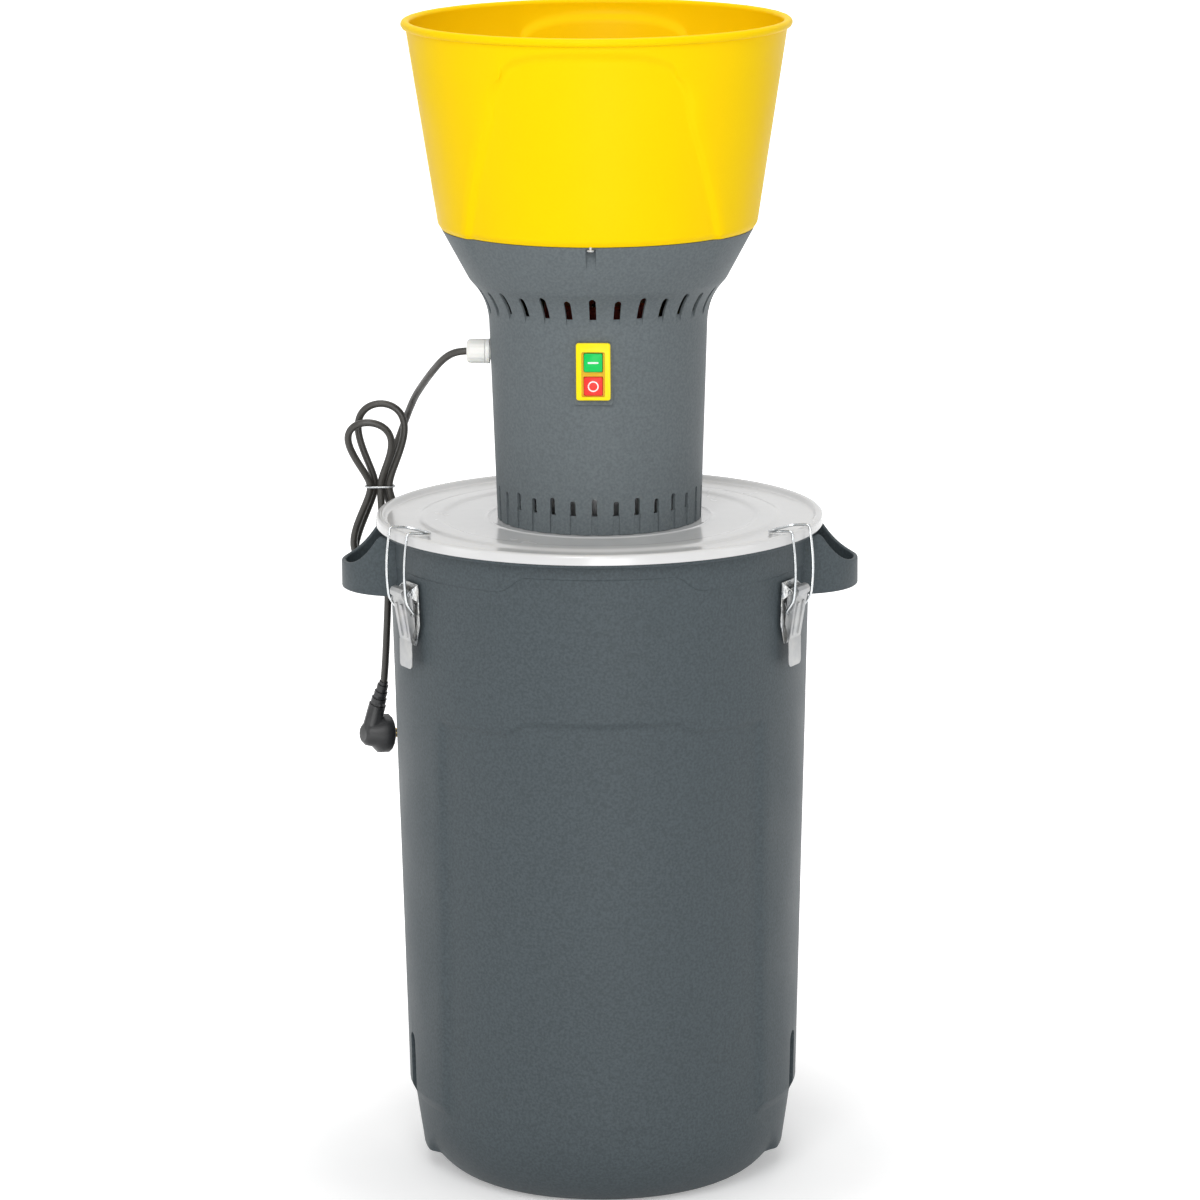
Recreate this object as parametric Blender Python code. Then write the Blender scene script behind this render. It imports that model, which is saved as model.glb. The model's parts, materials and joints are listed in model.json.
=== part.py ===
# Electric grain crusher: a plastic bin, a sheet lid held by two toggle latches, and on the lid
# a motor head with a feed hopper, two switch buttons and a mains cord tied in a hank.
# Metres, +Z up, the front faces -Y. Every turn is measured from the front toward +X.
import math

import bmesh
import bpy
import numpy as np
from mathutils import Matrix, Vector

# Allowances that all pieces share
GAP = 0.0003
OVERRUN = 0.004
PIN_PLAY = 0.0003
QUARTER = math.radians(90)
HALF_TURN = math.radians(180)
SMOOTH_ANGLE = math.radians(32)
FILLET_LIMIT_SHARE = 0.48
MITRE_LIMIT_SHARE = 0.5

# Bin
BIN_HEIGHT = 0.6265
BIN_NECK_RADIUS = 0.1972
BIN_NECK_DROP = 0.0335
BIN_NECK_HEIGHT = BIN_HEIGHT - BIN_NECK_DROP
BIN_TAPER = 0.0124
BIN_BELT_RADIUS = BIN_NECK_RADIUS - BIN_TAPER
BIN_BELT_HEIGHT = 0.073
BIN_BELT_RISE = 0.0105
BIN_BELT_REACH = 0.0053
BIN_SHOULDER_RADIUS = BIN_BELT_RADIUS - BIN_BELT_REACH
BIN_BASE_INSET = 0.0445
BIN_BASE_RADIUS = BIN_SHOULDER_RADIUS - BIN_BASE_INSET
BIN_BASE_DROP = 0.006
BIN_BASE_HEIGHT = BIN_BELT_HEIGHT - BIN_BASE_DROP
BIN_BASE_POWER_SHARE = 1.7
BIN_PAD_HEIGHT = 0.0187
BIN_PAD_INSET = 0.008
BIN_PAD_RADIUS = BIN_SHOULDER_RADIUS - BIN_PAD_INSET
BIN_PAD_EDGE = 0.0018
BIN_COLLAR_ARCH = 0.015
BIN_COLLAR_REACH = 0.0014
BIN_FLANGE_THICKNESS = 0.006
BIN_FLANGE_RISE = 0.0025
BIN_FLANGE_REACH = 0.0108
BIN_FLANGE_RADIUS = BIN_NECK_RADIUS + BIN_FLANGE_REACH
BIN_EDGE = 0.0008
BIN_WALL = 0.003
BIN_FLOOR = 0.004
BIN_BASE_STEP_SHARES = (0.06,)
BIN_INNER_STEP_SHARES = (0.5, 0.1)

# Recessed front and back panels of the bin
PANEL_DEPTH = 0.004
PANEL_HALF_WIDTH = 0.148
PANEL_FLANK = 0.006
PANEL_HEIGHT = 0.461
PANEL_ARCH = 0.0115
ARCH_FLAT_TURN = math.radians(20)
ARCH_END_TURN = math.radians(28)
PANEL_FOOT_HEIGHT = 0.027
PANEL_FOOT_TURN = math.radians(70)
PANEL_FOOT_FLANK = math.radians(5)
BIN_INSIDE_SHARES = (0, 0.2, 0.38, 0.495, 0.6, 0.8, 1)
BIN_OUTSIDE_SHARES = (0, 0.33, 0.66, 1)

# Grip grooves low on the sides of the bin
GROOVE_TURN = math.radians(76.3)
GROOVE_WIDTH = 0.018
GROOVE_DEPTH = 0.0047
GROOVE_HEIGHT = 0.064
GROOVE_TOP = BIN_BELT_HEIGHT + GROOVE_HEIGHT

# Handles of the bin
HANDLE_RADIUS = 0.056
HANDLE_SET = 0.0102
HANDLE_PLACE = BIN_NECK_RADIUS - HANDLE_SET
HANDLE_WALL = 0.004
HANDLE_FOOT_DROP = 0.0635
HANDLE_FOOT = BIN_HEIGHT - HANDLE_FOOT_DROP
HANDLE_TIP_HEIGHT = 0.026
HANDLE_TIP_TOP = HANDLE_FOOT + HANDLE_TIP_HEIGHT
HANDLE_RISE_SHARE = 0.84
HANDLE_TOP_DROP = 0.007
HANDLE_TOP = BIN_HEIGHT - HANDLE_TOP_DROP
HANDLE_EDGE = 0.001
HANDLE_STEPS = 12

# Lid, its gasket and the plates on both sides of it
LID_RISE = 0.0015
LID_HEIGHT = BIN_HEIGHT + LID_RISE
LID_SHEET = 0.0012
LID_PLAY = 0.0011
LID_RADIUS = BIN_FLANGE_RADIUS + LID_PLAY + LID_SHEET
LID_CREST_SET = 0.0038
LID_CREST_RADIUS = LID_RADIUS - LID_CREST_SET
LID_CREST_RISE = 0.005
LID_RIM_WIDTH = 0.0045
LID_RIM_INNER = LID_CREST_RADIUS - LID_RIM_WIDTH
LID_SKIRT = 0.0045
LID_HOLE_RADIUS = 0.03
LID_BEAD_RADIUS = 0.1055
LID_BEAD_WIDTH = 0.005
LID_BEAD_RISE = 0.0012
LID_RING_SET = 0.033
LID_RING_WIDTH = 0.0215
LID_RING_OUTER = LID_RIM_INNER - LID_RING_SET
LID_RING_INNER = LID_RING_OUTER - LID_RING_WIDTH
LID_RING_SLOPE = 0.0055
LID_RING_RISE = 0.002
LID_SEGMENTS = 36
LID_HEM_SHARES = ((0.45, 0.8), (1, 1), (0.5, 0.75), (0, 0.12))
GASKET_SET = 0.0018
GASKET_INNER = LID_CREST_RADIUS - GASKET_SET
GASKET_WIDTH = 0.0032
GASKET_HEIGHT = 0.0023
CHAMBER_PLATE_THICKNESS = 0.0039
MOTOR_PLATE_THICKNESS = 0.004

# Head: its turn about Z and the housing with its slots
HEAD_TURN = math.radians(-2.7)
HOUSING_WALL = 0.0028
HOUSING_FOOT_RADIUS = 0.0956
HOUSING_TAPER = 0.0064
HOUSING_NECK_RADIUS = HOUSING_FOOT_RADIUS + HOUSING_TAPER
HOUSING_NECK_RISE = 0.1909
HOUSING_NECK_HEIGHT = LID_HEIGHT + HOUSING_NECK_RISE
HOUSING_FLARE_REACH = 0.002
HOUSING_FLARE_RADIUS = HOUSING_NECK_RADIUS + HOUSING_FLARE_REACH
HOUSING_FLARE_RISE = 0.0103
HOUSING_FLARE_HEIGHT = HOUSING_NECK_HEIGHT + HOUSING_FLARE_RISE
HOUSING_KINK_REACH = 0.0162
HOUSING_KINK_RADIUS = HOUSING_FLARE_RADIUS + HOUSING_KINK_REACH
HOUSING_KINK_RISE = 0.0264
HOUSING_KINK_HEIGHT = HOUSING_FLARE_HEIGHT + HOUSING_KINK_RISE
HOUSING_TOP_REACH = 0.0253
HOUSING_TOP_RADIUS = HOUSING_KINK_RADIUS + HOUSING_TOP_REACH
HOUSING_TOP_RISE = 0.0469
HOUSING_TOP_HEIGHT = HOUSING_KINK_HEIGHT + HOUSING_TOP_RISE
HOUSING_FADE_RISE = 0.0184
HOUSING_FADE_HEIGHT = HOUSING_KINK_HEIGHT + HOUSING_FADE_RISE
HOUSING_COLUMNS = 60
FLARE_STEP_SHARES = ((0.5, 0.34),)
SLOT_COUNT = 30
SLOT_ARCH_STEPS = 3
UPPER_SLOT_WIDTH = 0.0063
UPPER_SLOT_RISE = 0.0039
UPPER_SLOT_FOOT = HOUSING_FLARE_HEIGHT + UPPER_SLOT_RISE
UPPER_SLOT_TALL = 0.0184
UPPER_SLOT_SHORT = 0.016
LOWER_SLOT_WIDTH = 0.005
LOWER_SLOT_RISE = 0.0179
LOWER_SLOT_FOOT = LID_HEIGHT + LOWER_SLOT_RISE
LOWER_SLOT_TALL = 0.0165
LOWER_SLOT_SHORT = 0.0141
FOOT_GROOVE_WIDTH = 0.0063
FOOT_GROOVE_DEPTH = 0.0015
POCKET_COUNT = 3
POCKET_WIDTH = 0.0092
POCKET_HEIGHT = 0.023
POCKET_FOOT = HOUSING_TOP_HEIGHT - POCKET_HEIGHT
POCKET_CEILING = 0.0013
POCKET_WALL = 0.002
POCKET_SET = 0.013
POCKET_BACK_RADIUS = HOUSING_TOP_RADIUS - POCKET_SET

# Hopper with its recessed arches, funnel and floor
HOPPER_FOOT_REACH = 0.0032
HOPPER_FOOT_RADIUS = HOUSING_TOP_RADIUS + HOPPER_FOOT_REACH
HOPPER_CORNER = 0.005
HOPPER_CORNER_SHARE = 0.8
HOPPER_TAPER = 0.0283
HOPPER_LIP_RADIUS = HOPPER_FOOT_RADIUS + HOPPER_TAPER
HOPPER_LIP_RISE = 0.1896
HOPPER_LIP_HEIGHT = HOUSING_TOP_HEIGHT + HOPPER_LIP_RISE
HOPPER_LIP_ROUND = 0.004
HOPPER_LIP_START = math.radians(-50)
HOPPER_LIP_END = math.radians(210)
HOPPER_WALL = 0.0028
HOPPER_PANEL_DEPTH = 0.0043
HOPPER_PANEL_FLANK = 0.0035
ARCH_SHOULDER_DROP = 0.0349
ARCH_SHOULDER_HEIGHT = HOPPER_LIP_HEIGHT - ARCH_SHOULDER_DROP
ARCH_RISE = 0.0223
ARCH_LEG_DROP = 0.0398
ARCH_LEG_HEIGHT = ARCH_SHOULDER_HEIGHT - ARCH_LEG_DROP
ARCH_SHOULDER_TURN = math.radians(28.1)
ARCH_LEG_TURN = math.radians(34)
ARCH_FOOT_TURN = math.radians(52)
HOPPER_INSIDE_SHARES = (0, 0.3, 0.56, 0.8, 1)
HOPPER_OUTSIDE_SHARES = (0, 0.25, 0.5, 0.75, 1)
HOPPER_ROW_SHARES = (0.73,)
FUNNEL_WALL = 0.003
FUNNEL_SET = 0.017
FUNNEL_TOP_RADIUS = HOUSING_TOP_RADIUS - FUNNEL_SET
FUNNEL_SLOPE = 0.0285
FUNNEL_FLOOR_RADIUS = FUNNEL_TOP_RADIUS - FUNNEL_SLOPE
FUNNEL_DEPTH = 0.0365
FUNNEL_FLOOR_HEIGHT = HOUSING_TOP_HEIGHT - FUNNEL_DEPTH

# Motor
SHAFT_RADIUS = 0.006
SHAFT_PROUD = 0.0029
BELL_RADIUS = 0.054
BELL_WALL = 0.003
BELL_HEIGHT = 0.0354
BELL_FOOT = LID_HEIGHT + MOTOR_PLATE_THICKNESS + 2 * GAP
BELL_TOP = BELL_FOOT + BELL_HEIGHT
STATOR_SET = 0.001
STATOR_RADIUS = BELL_RADIUS - STATOR_SET
STATOR_BORE = 0.0315
WINDING_SET = 0.0085
WINDING_RADIUS = BELL_RADIUS - WINDING_SET
WINDING_PLAY = 0.002
WINDING_BORE = STATOR_BORE + WINDING_PLAY
WINDING_HEIGHT = 0.012
COVER_SET = 0.004
COVER_RADIUS = BELL_RADIUS - COVER_SET
COVER_WALL = 0.0025
COVER_HEIGHT = 0.057
COVER_CLEARANCE = 0.0324
COVER_TOP = FUNNEL_FLOOR_HEIGHT - COVER_CLEARANCE
COVER_FOOT = COVER_TOP - COVER_HEIGHT
COVER_VENTS = 4
COVER_VENT_WIDTH = 0.008
ARMATURE_PLAY = 0.001
ARMATURE_RADIUS = STATOR_BORE - ARMATURE_PLAY
ARMATURE_MARGIN = 0.004
BEARING_RADIUS = 0.014
BEARING_WIDTH = 0.011
FAN_PLAY = 0.0055
FAN_RADIUS = COVER_RADIUS - COVER_WALL - FAN_PLAY
FAN_HUB_RADIUS = 0.012
FAN_PLATE = 0.002
FAN_HEIGHT = 0.012
FAN_MARGIN = 0.002
FAN_BLADES = 6
FAN_BLADE_THICKNESS = 0.0016

# Feed window, shutter and chute, between the motor and the housing
CHUTE_MOTOR_GAP = 0.0035
CHUTE_INNER = BELL_RADIUS + CHUTE_MOTOR_GAP
CHUTE_WALL_GAP = 0.0043
CHUTE_OUTER = HOUSING_FOOT_RADIUS - HOUSING_WALL - CHUTE_WALL_GAP
CHUTE_HALF_TURN = math.radians(30)
CHUTE_WALL = 0.0016
WINDOW_MARGIN = 0.0008
WINDOW_INNER = CHUTE_INNER + WINDOW_MARGIN
WINDOW_OUTER = CHUTE_OUTER - WINDOW_MARGIN
WINDOW_HALF_TURN = math.radians(29)
SHUTTER_MARGIN = 0.0043
SHUTTER_RADIUS = WINDOW_OUTER + SHUTTER_MARGIN
SHUTTER_THICKNESS = 0.002
SHUTTER_KNOB_RADIUS = 0.012
SHUTTER_KNOB_HEIGHT = 0.022
SHUTTER_FIN_THICKNESS = 0.005
STUD_RADIUS = 0.003
STUD_HEAD_RADIUS = 0.006
STUD_HEAD_HEIGHT = 0.003
SECTOR_STEPS = 9

# Switch
SWITCH_DROP = 0.0384
SWITCH_HEIGHT = HOUSING_NECK_HEIGHT - SWITCH_DROP
SWITCH_PLATE_WIDTH = 0.033
SWITCH_PLATE_HEIGHT = 0.055
SWITCH_PLATE_DEPTH = 0.0036
SWITCH_PLATE_CORNER = 0.0025
SWITCH_SEAT_MARGIN = 0.0012
SWITCH_SEAT_SET = 0.0001
SWITCH_SEAT_PLACE = HOUSING_NECK_RADIUS - SWITCH_SEAT_SET
SWITCH_SEAT_DEPTH = 0.0045
SWITCH_BODY_MARGIN = 0.003
SWITCH_BODY_DEPTH = 0.03
BUTTON_SIZE = 0.017
BUTTON_CORNER = 0.0012
BUTTON_SPREAD = 0.01095
BUTTON_PROUD = 0.0004
BUTTON_DEPTH = 0.009
BUTTON_WELL = 0.01
BUTTON_PLAY = 0.0004

# Mill under the lid
SIEVE_RADIUS = 0.105
SIEVE_WALL = 0.0015
SIEVE_HEIGHT = 0.04
SIEVE_SLOTS = 12
SIEVE_SLOT_WIDTH = 0.006
SIEVE_SLOT_MARGIN = 0.007
PLATE_MARGIN = 0.015
CHAMBER_PLATE_RADIUS = SIEVE_RADIUS + PLATE_MARGIN
PLATE_SEGMENTS = 20
MILL_COVER_THICKNESS = 0.004
BLADE_PLAY = 0.0135
BLADE_REACH = SIEVE_RADIUS - SIEVE_WALL - BLADE_PLAY
BLADE_WIDTH = 0.026
BLADE_THICKNESS = 0.003
BLADE_DROP = 0.027
BLADE_HEIGHT = LID_HEIGHT - BLADE_DROP
BLADE_BEVEL = 0.007
BLADE_NUT_RADIUS = 0.011
BLADE_NUT_HEIGHT = 0.008
SHAFT_END = 0.0027
SHAFT_FOOT = BLADE_HEIGHT - GAP - BLADE_NUT_HEIGHT - SHAFT_END
MILL_STUD_MARGIN = 0.0075
MILL_STUD_PLACE = SIEVE_RADIUS + MILL_STUD_MARGIN
MILL_STUD_RADIUS = 0.0025
MILL_STUD_COUNT = 3
WING_RADIUS = 0.006
WING_SPAN = 0.026
WING_HEIGHT = 0.008
WING_THICKNESS = 0.0025

# Toggle latches, in a frame that stands on the bin wall: X along the wall, Y outward, Z up
LATCH_TURN = math.radians(61.2)
LATCH_WALL_RADIUS = BIN_NECK_RADIUS + BIN_COLLAR_REACH + GAP
LATCH_SHEET = 0.0012
LEVER_PIVOT_OUT = 0.008
LEVER_PIVOT_DROP = 0.0495
LEVER_PIVOT_HEIGHT = BIN_HEIGHT - LEVER_PIVOT_DROP
BAIL_PIVOT_OUT = 0.0055
BAIL_PIVOT_DROP = 0.02
BAIL_PIVOT_HEIGHT = LEVER_PIVOT_HEIGHT - BAIL_PIVOT_DROP
LATCH_PLATE_RISE = 0.0085
LATCH_PLATE_TOP = LEVER_PIVOT_HEIGHT + LATCH_PLATE_RISE
LATCH_PLATE_WIDE_DROP = 0.01
LATCH_PLATE_WIDE = BAIL_PIVOT_HEIGHT - LATCH_PLATE_WIDE_DROP
LATCH_PLATE_FOOT_DROP = 0.03
LATCH_PLATE_FOOT = BAIL_PIVOT_HEIGHT - LATCH_PLATE_FOOT_DROP
LATCH_PLATE_TOP_HALF = 0.014
LATCH_PLATE_WIDE_HALF = 0.017
LATCH_PLATE_FOOT_HALF = 0.01
LEVER_HALF_WIDTH = 0.011
LATCH_PIN_RADIUS = 0.0015
LATCH_EAR_PLAY = 0.0006
LATCH_EAR_PLACE = LEVER_HALF_WIDTH + LATCH_EAR_PLAY + LATCH_SHEET / 2
LATCH_EAR_ROUND = 0.0028
LATCH_EAR_HEIGHT = 0.016
LATCH_PIN_END = 0.0023
LATCH_PIN_HALF = LATCH_EAR_PLACE + LATCH_PIN_END
RIVET_RADIUS = 0.0026
RIVET_HEIGHT = 0.0012
RIVET_DROP = 0.014
CURL_REACH = 0.004
CURL_OUT = LEVER_PIVOT_OUT + CURL_REACH
CURL_RADIUS = 0.0053
CURL_START = math.radians(140)
CURL_END = math.radians(-68)
CURL_STEPS = 5
LEVER_KNEE_OUT = 0.0058
LEVER_KNEE_DROP = 0.027
LEVER_KNEE_HEIGHT = BAIL_PIVOT_HEIGHT - LEVER_KNEE_DROP
LEVER_TAB_HEIGHT = 0.0245
LEVER_TAB_FOOT = LEVER_KNEE_HEIGHT - LEVER_TAB_HEIGHT
LEVER_TAB_HALF = 0.012
LEVER_TAB_CORNER = 0.004
FLANK_FOOT_OUT = 0.0022
FLANK_FOOT_SHARE = 0.59
RIB_WIDTH = 0.003
RIB_PLACE = 0.005
RIB_RISE = 0.0008
BAIL_WIRE = 0.00125
BAIL_INNER_SET = 0.0025
BAIL_INNER_HALF = LEVER_HALF_WIDTH - BAIL_INNER_SET
BAIL_SIDE_REACH = 0.0056
BAIL_HALF_WIDTH = LATCH_EAR_PLACE + BAIL_SIDE_REACH
BAIL_CLEARANCE = 0.00065
BAIL_OUT = LID_RADIUS - LATCH_WALL_RADIUS + BAIL_WIRE + BAIL_CLEARANCE
BAIL_OVER_CLEARANCE = 0.00165
BAIL_OVER_HEIGHT = LID_HEIGHT + LID_CREST_RISE + BAIL_WIRE + BAIL_OVER_CLEARANCE
BAIL_TIP_SET = 0.0265
BAIL_TIP_RADIUS = LID_CREST_RADIUS - BAIL_TIP_SET
BAIL_TIP_CLEARANCE = 0.00085
BAIL_TIP_HEIGHT = LID_HEIGHT + BAIL_WIRE + BAIL_TIP_CLEARANCE
BAIL_TIP_HALF = 0.0035
BAIL_BEND = 0.004
BAIL_STRAIGHT = 0.012
BAIL_SHOULDER_SHARE = 0.6
BAIL_SLOPE_SHARE = 0.35

# Screws that hold the hopper
SCREW_RADIUS = 0.0019
SCREW_HEAD_RADIUS = 0.0036
SCREW_HEAD_HEIGHT = 0.0024
SCREW_BITE = 0.0015
SCREW_SET = 0.006
SCREW_PLACE = HOUSING_TOP_RADIUS - SCREW_SET
SCREW_CROWN_SHARE = 0.67
SCREW_EDGE_SHARE = 0.4

# Cord, hank, tie and plug
CORD_RADIUS = 0.0035
ROUTE_COUNT = 24
LOBE_COUNT = 48
RELAX_COUNT = 12
CORD_STEP = 0.016
HANK_STEP = 0.0104
HANK_MARGIN_COUNT = 10
HANK_PITCH = 0.0077
HANK_CLEARANCE = 0.0004
HANK_PLACE = (-0.21, 0.1, 0.6385)
CORD_EXIT = (-0.1231, 0.0058, 0.7847)
LEAD_ROUTE = (
    (-0.1301, 0.0061, 0.7846),
    (-0.1380, 0.0092, 0.7818),
    (-0.1463, 0.0170, 0.7745),
    (-0.1545, 0.0330, 0.7632),
    (-0.1640, 0.0590, 0.7475),
    (-0.1755, 0.0940, 0.7256),
    (-0.1845, 0.1180, 0.7022),
    (-0.1912, 0.1235, 0.6835),
    (-0.1998, 0.1175, 0.6610),
)
TAIL_ROUTE = (
    (-0.2085, 0.0950, 0.6150),
    (-0.2070, 0.0900, 0.5900),
    (-0.2035, 0.0885, 0.5600),
    (-0.2035, 0.0900, 0.5329),
    (-0.2050, 0.0930, 0.5040),
    (-0.2065, 0.0985, 0.4783),
    (-0.2080, 0.1040, 0.4589),
)
PLUG_TOP = (-0.2093, 0.1075, 0.4450)
PLUG_PLACE = (-0.2165, 0.1200, 0.3905)
PLUG_TURN = math.radians(28)
PLUG_DROP = math.radians(5)
PLUG_RADIUS = 0.019
PLUG_FACE_LENGTH = 0.011
PLUG_BACK_LENGTH = 0.016
PLUG_BACK_RADIUS = 0.0115
PLUG_BACK_SHARES = ((0.7, 1), (1, 0.8), (1.15, 0.3))
PLUG_EDGE = 0.001
PLUG_PIN_RADIUS = 0.0024
PLUG_PIN_LENGTH = 0.019
PLUG_PIN_SPREAD = 0.0095
RELIEF_RADIUS = 0.0055
RELIEF_FOOT_RADIUS = 0.0085
RELIEF_RIBS = 4
RELIEF_GROOVE = 0.0011
TIE_WIRE = 0.0009
TIE_CLEARANCE = 0.0021
TIE_SLANT = math.radians(30)

# Cord gland on the left of the head
GLAND_DROP = 0.0342
GLAND_HEIGHT = HOUSING_NECK_HEIGHT - GLAND_DROP
GLAND_RADIUS = 0.01075
GLAND_FLANGE = 0.004
GLAND_BARREL_SET = 0.00275
GLAND_BARREL_RADIUS = GLAND_RADIUS - GLAND_BARREL_SET
GLAND_INSIDE = 0.012
GLAND_NUT_LENGTH = 0.0172
GLAND_NUT_ROUND = 0.004
GLAND_PLAY = 0.0004
GLAND_BORE = CORD_RADIUS + GLAND_PLAY
LOCKNUT_REACH = 0.0035
LOCKNUT_RADIUS = GLAND_BARREL_RADIUS + LOCKNUT_REACH
LOCKNUT_THICKNESS = 0.005

# Hank lobes: which way, height, width, lean and depth; the widths are those between strands
LOBE_HEIGHTS = (-0.094, 0.081, -0.078, 0.065)
LOBE_WIDTHS = (0.043, 0.04, 0.043, 0.039)
LOBE_LEANS = (-0.004, 0.0, -0.002, -0.007)
LOBE_DEPTHS = (0.008, -0.004, -0.001, -0.015)
LOBE_BULGE_SHARE = 1.08
LOBE_NECK_SHARE = 0.25
STRAND_PLACE_SHARES = ((0.5, 0.87), (-0.5, 0.87), (1, 0), (-1, 0), (0, 0))

# Looks: colour, roughness and metallic share of each stuff
LOOKS = {
    "bin_plastic": ("#565F63", 0.6, 0),
    "housing_plastic": ("#5A6468", 0.62, 0),
    "hopper_plastic": ("#FFD200", 0.42, 0),
    "lid_sheet": ("#D5D5D5", 0.28, 0.2),
    "zinc": ("#C9CBCD", 0.3, 1),
    "steel": ("#9EA1A4", 0.38, 1),
    "aluminium": ("#BFC1C2", 0.4, 1),
    "brass": ("#C8A24B", 0.35, 1),
    "rubber": ("#2B2B2A", 0.8, 0),
    "cord_rubber": ("#3A3835", 0.55, 0),
    "white_plastic": ("#F2F2F0", 0.45, 0),
    "black_plastic": ("#222325", 0.5, 0),
    "switch_yellow": ("#F5C400", 0.42, 0),
    "start_green": ("#12A05A", 0.4, 0),
    "stop_red": ("#E0382E", 0.4, 0),
    "motor_red": ("#7A1F16", 0.5, 0.3),
    "copper": ("#B4653A", 0.35, 1),
    "lamination": ("#6E7174", 0.5, 0.8),
}


def linear(tint):
    """Scene-linear colour of an sRGB hex value."""
    values = [int(tint[i : i + 2], 16) / 255 for i in (1, 3, 5)]
    return [v / 12.92 if v <= 0.04045 else ((v + 0.055) / 1.055) ** 2.4 for v in values]


def material(name, look):
    tint, roughness, metallic = LOOKS[look]
    stuff = bpy.data.materials.new(name)
    stuff.use_nodes = True
    shader = stuff.node_tree.nodes["Principled BSDF"]
    shader.inputs["Base Color"].default_value = (*linear(tint), 1)
    shader.inputs["Roughness"].default_value = roughness
    shader.inputs["Metallic"].default_value = metallic
    return stuff


def clear_scene():
    for obj in list(bpy.data.objects):
        bpy.data.objects.remove(obj)


def frame(name, place, turn, parent):
    """An empty that carries pieces: turned about Z, then moved."""
    empty = bpy.data.objects.new(name, None)
    bpy.context.collection.objects.link(empty)
    empty.location = place
    empty.rotation_euler = (0, 0, turn)
    empty.parent = parent
    return empty


def solid(name, bm, look, parent=None, place=(0, 0, 0)):
    """A named object from a closed bmesh."""
    bmesh.ops.recalc_face_normals(bm, faces=bm.faces)
    mesh = bpy.data.meshes.new(name)
    bm.to_mesh(mesh)
    bm.free()
    obj = bpy.data.objects.new(name, mesh)
    bpy.context.collection.objects.link(obj)
    obj.parent = parent
    obj.location = place
    mesh.materials.append(material(name, look))
    smooth(mesh)
    return obj


def smooth(mesh):
    mesh.shade_smooth()
    mesh.set_sharp_from_angle(angle=SMOOTH_ANGLE)


def combine(obj, tool, operation):
    """Joins a closed bmesh to the piece, or cuts it away, in the piece's own frame."""
    bmesh.ops.recalc_face_normals(tool, faces=tool.faces)
    shape = bpy.data.meshes.new("tool")
    tool.to_mesh(shape)
    tool.free()
    cutter = bpy.data.objects.new("tool", shape)
    bpy.context.collection.objects.link(cutter)
    cutter.parent = obj.parent
    cutter.location = obj.location
    cutter.rotation_euler = obj.rotation_euler
    step = obj.modifiers.new("combine", "BOOLEAN")
    step.operation = operation
    step.solver = "EXACT"
    step.object = cutter
    bpy.context.view_layer.update()
    graph = bpy.context.evaluated_depsgraph_get()
    result = bpy.data.meshes.new_from_object(obj.evaluated_get(graph))
    obj.modifiers.remove(step)
    result.name = obj.data.name
    obj.data = result
    bpy.data.objects.remove(cutter)
    smooth(result)


def cut(obj, tool):
    combine(obj, tool, "DIFFERENCE")


def join(obj, tool):
    combine(obj, tool, "UNION")


def move(bm, matrix):
    bmesh.ops.transform(bm, matrix=matrix, verts=bm.verts)
    return bm


def merged(tools):
    """One bmesh that holds several closed ones, which don't meet."""
    whole = bmesh.new()
    for tool in tools:
        shape = bpy.data.meshes.new("tool")
        tool.to_mesh(shape)
        tool.free()
        whole.from_mesh(shape)
        bpy.data.meshes.remove(shape)
    return whole


def polar(radius, turn, height):
    return Vector((radius * math.sin(turn), -radius * math.cos(turn), height))


def mix(low, high, share):
    return low + (high - low) * share


def part_of(value, low, high):
    """How far a value lies from low to high, kept between 0 and 1."""
    return min(max((value - low) / (high - low), 0), 1)


def eased(value, low, high):
    share = part_of(value, low, high)
    return share * share * (3 - 2 * share)


def turned(outline, segments):
    """A solid turned round Z from an outline of (radius, height). An outline that starts and
    ends on the axis stays open there, and any other one is closed."""
    bm = bmesh.new()
    points = [bm.verts.new((radius, 0, height)) for radius, height in outline]
    pairs = list(zip(points, points[1:]))
    if outline[0][0] or outline[-1][0]:
        pairs.append((points[-1], points[0]))
    edges = [bm.edges.new(pair) for pair in pairs]
    bmesh.ops.spin(
        bm,
        geom=points + edges,
        axis=(0, 0, 1),
        cent=(0, 0, 0),
        angle=math.tau,
        steps=segments,
        use_merge=True,
    )
    bmesh.ops.remove_doubles(bm, verts=bm.verts, dist=GAP / 100)
    return bm


def prism(outline, low, high):
    """A solid with an outline given as (x, z), between two places along Y."""
    bm = bmesh.new()
    face = bm.faces.new([bm.verts.new((x, low, z)) for x, z in outline])
    swept = bmesh.ops.extrude_face_region(bm, geom=[face])
    moved = [item for item in swept["geom"] if isinstance(item, bmesh.types.BMVert)]
    bmesh.ops.translate(bm, verts=moved, vec=(0, high - low, 0))
    return bm


def flat_prism(outline, low, high):
    """A solid with an outline given as (x, y), between two heights."""
    return move(prism(outline, -low, -high), Matrix.Rotation(-QUARTER, 4, "X"))


def side_prism(outline, low, high):
    """A solid with an outline given as (y, z), between two places along X."""
    return move(prism(outline, -high, -low), Matrix.Rotation(QUARTER, 4, "Z"))


def box(low, high):
    x0, y0, z0 = low
    x1, y1, z1 = high
    return prism(((x0, z0), (x1, z0), (x1, z1), (x0, z1)), y0, y1)


def arc(middle, radius, start, end, steps):
    """Points along an arc, both ends included."""
    angles = [mix(start, end, i / steps) for i in range(steps + 1)]
    return [(middle[0] + radius * math.cos(a), middle[1] + radius * math.sin(a)) for a in angles]


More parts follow.
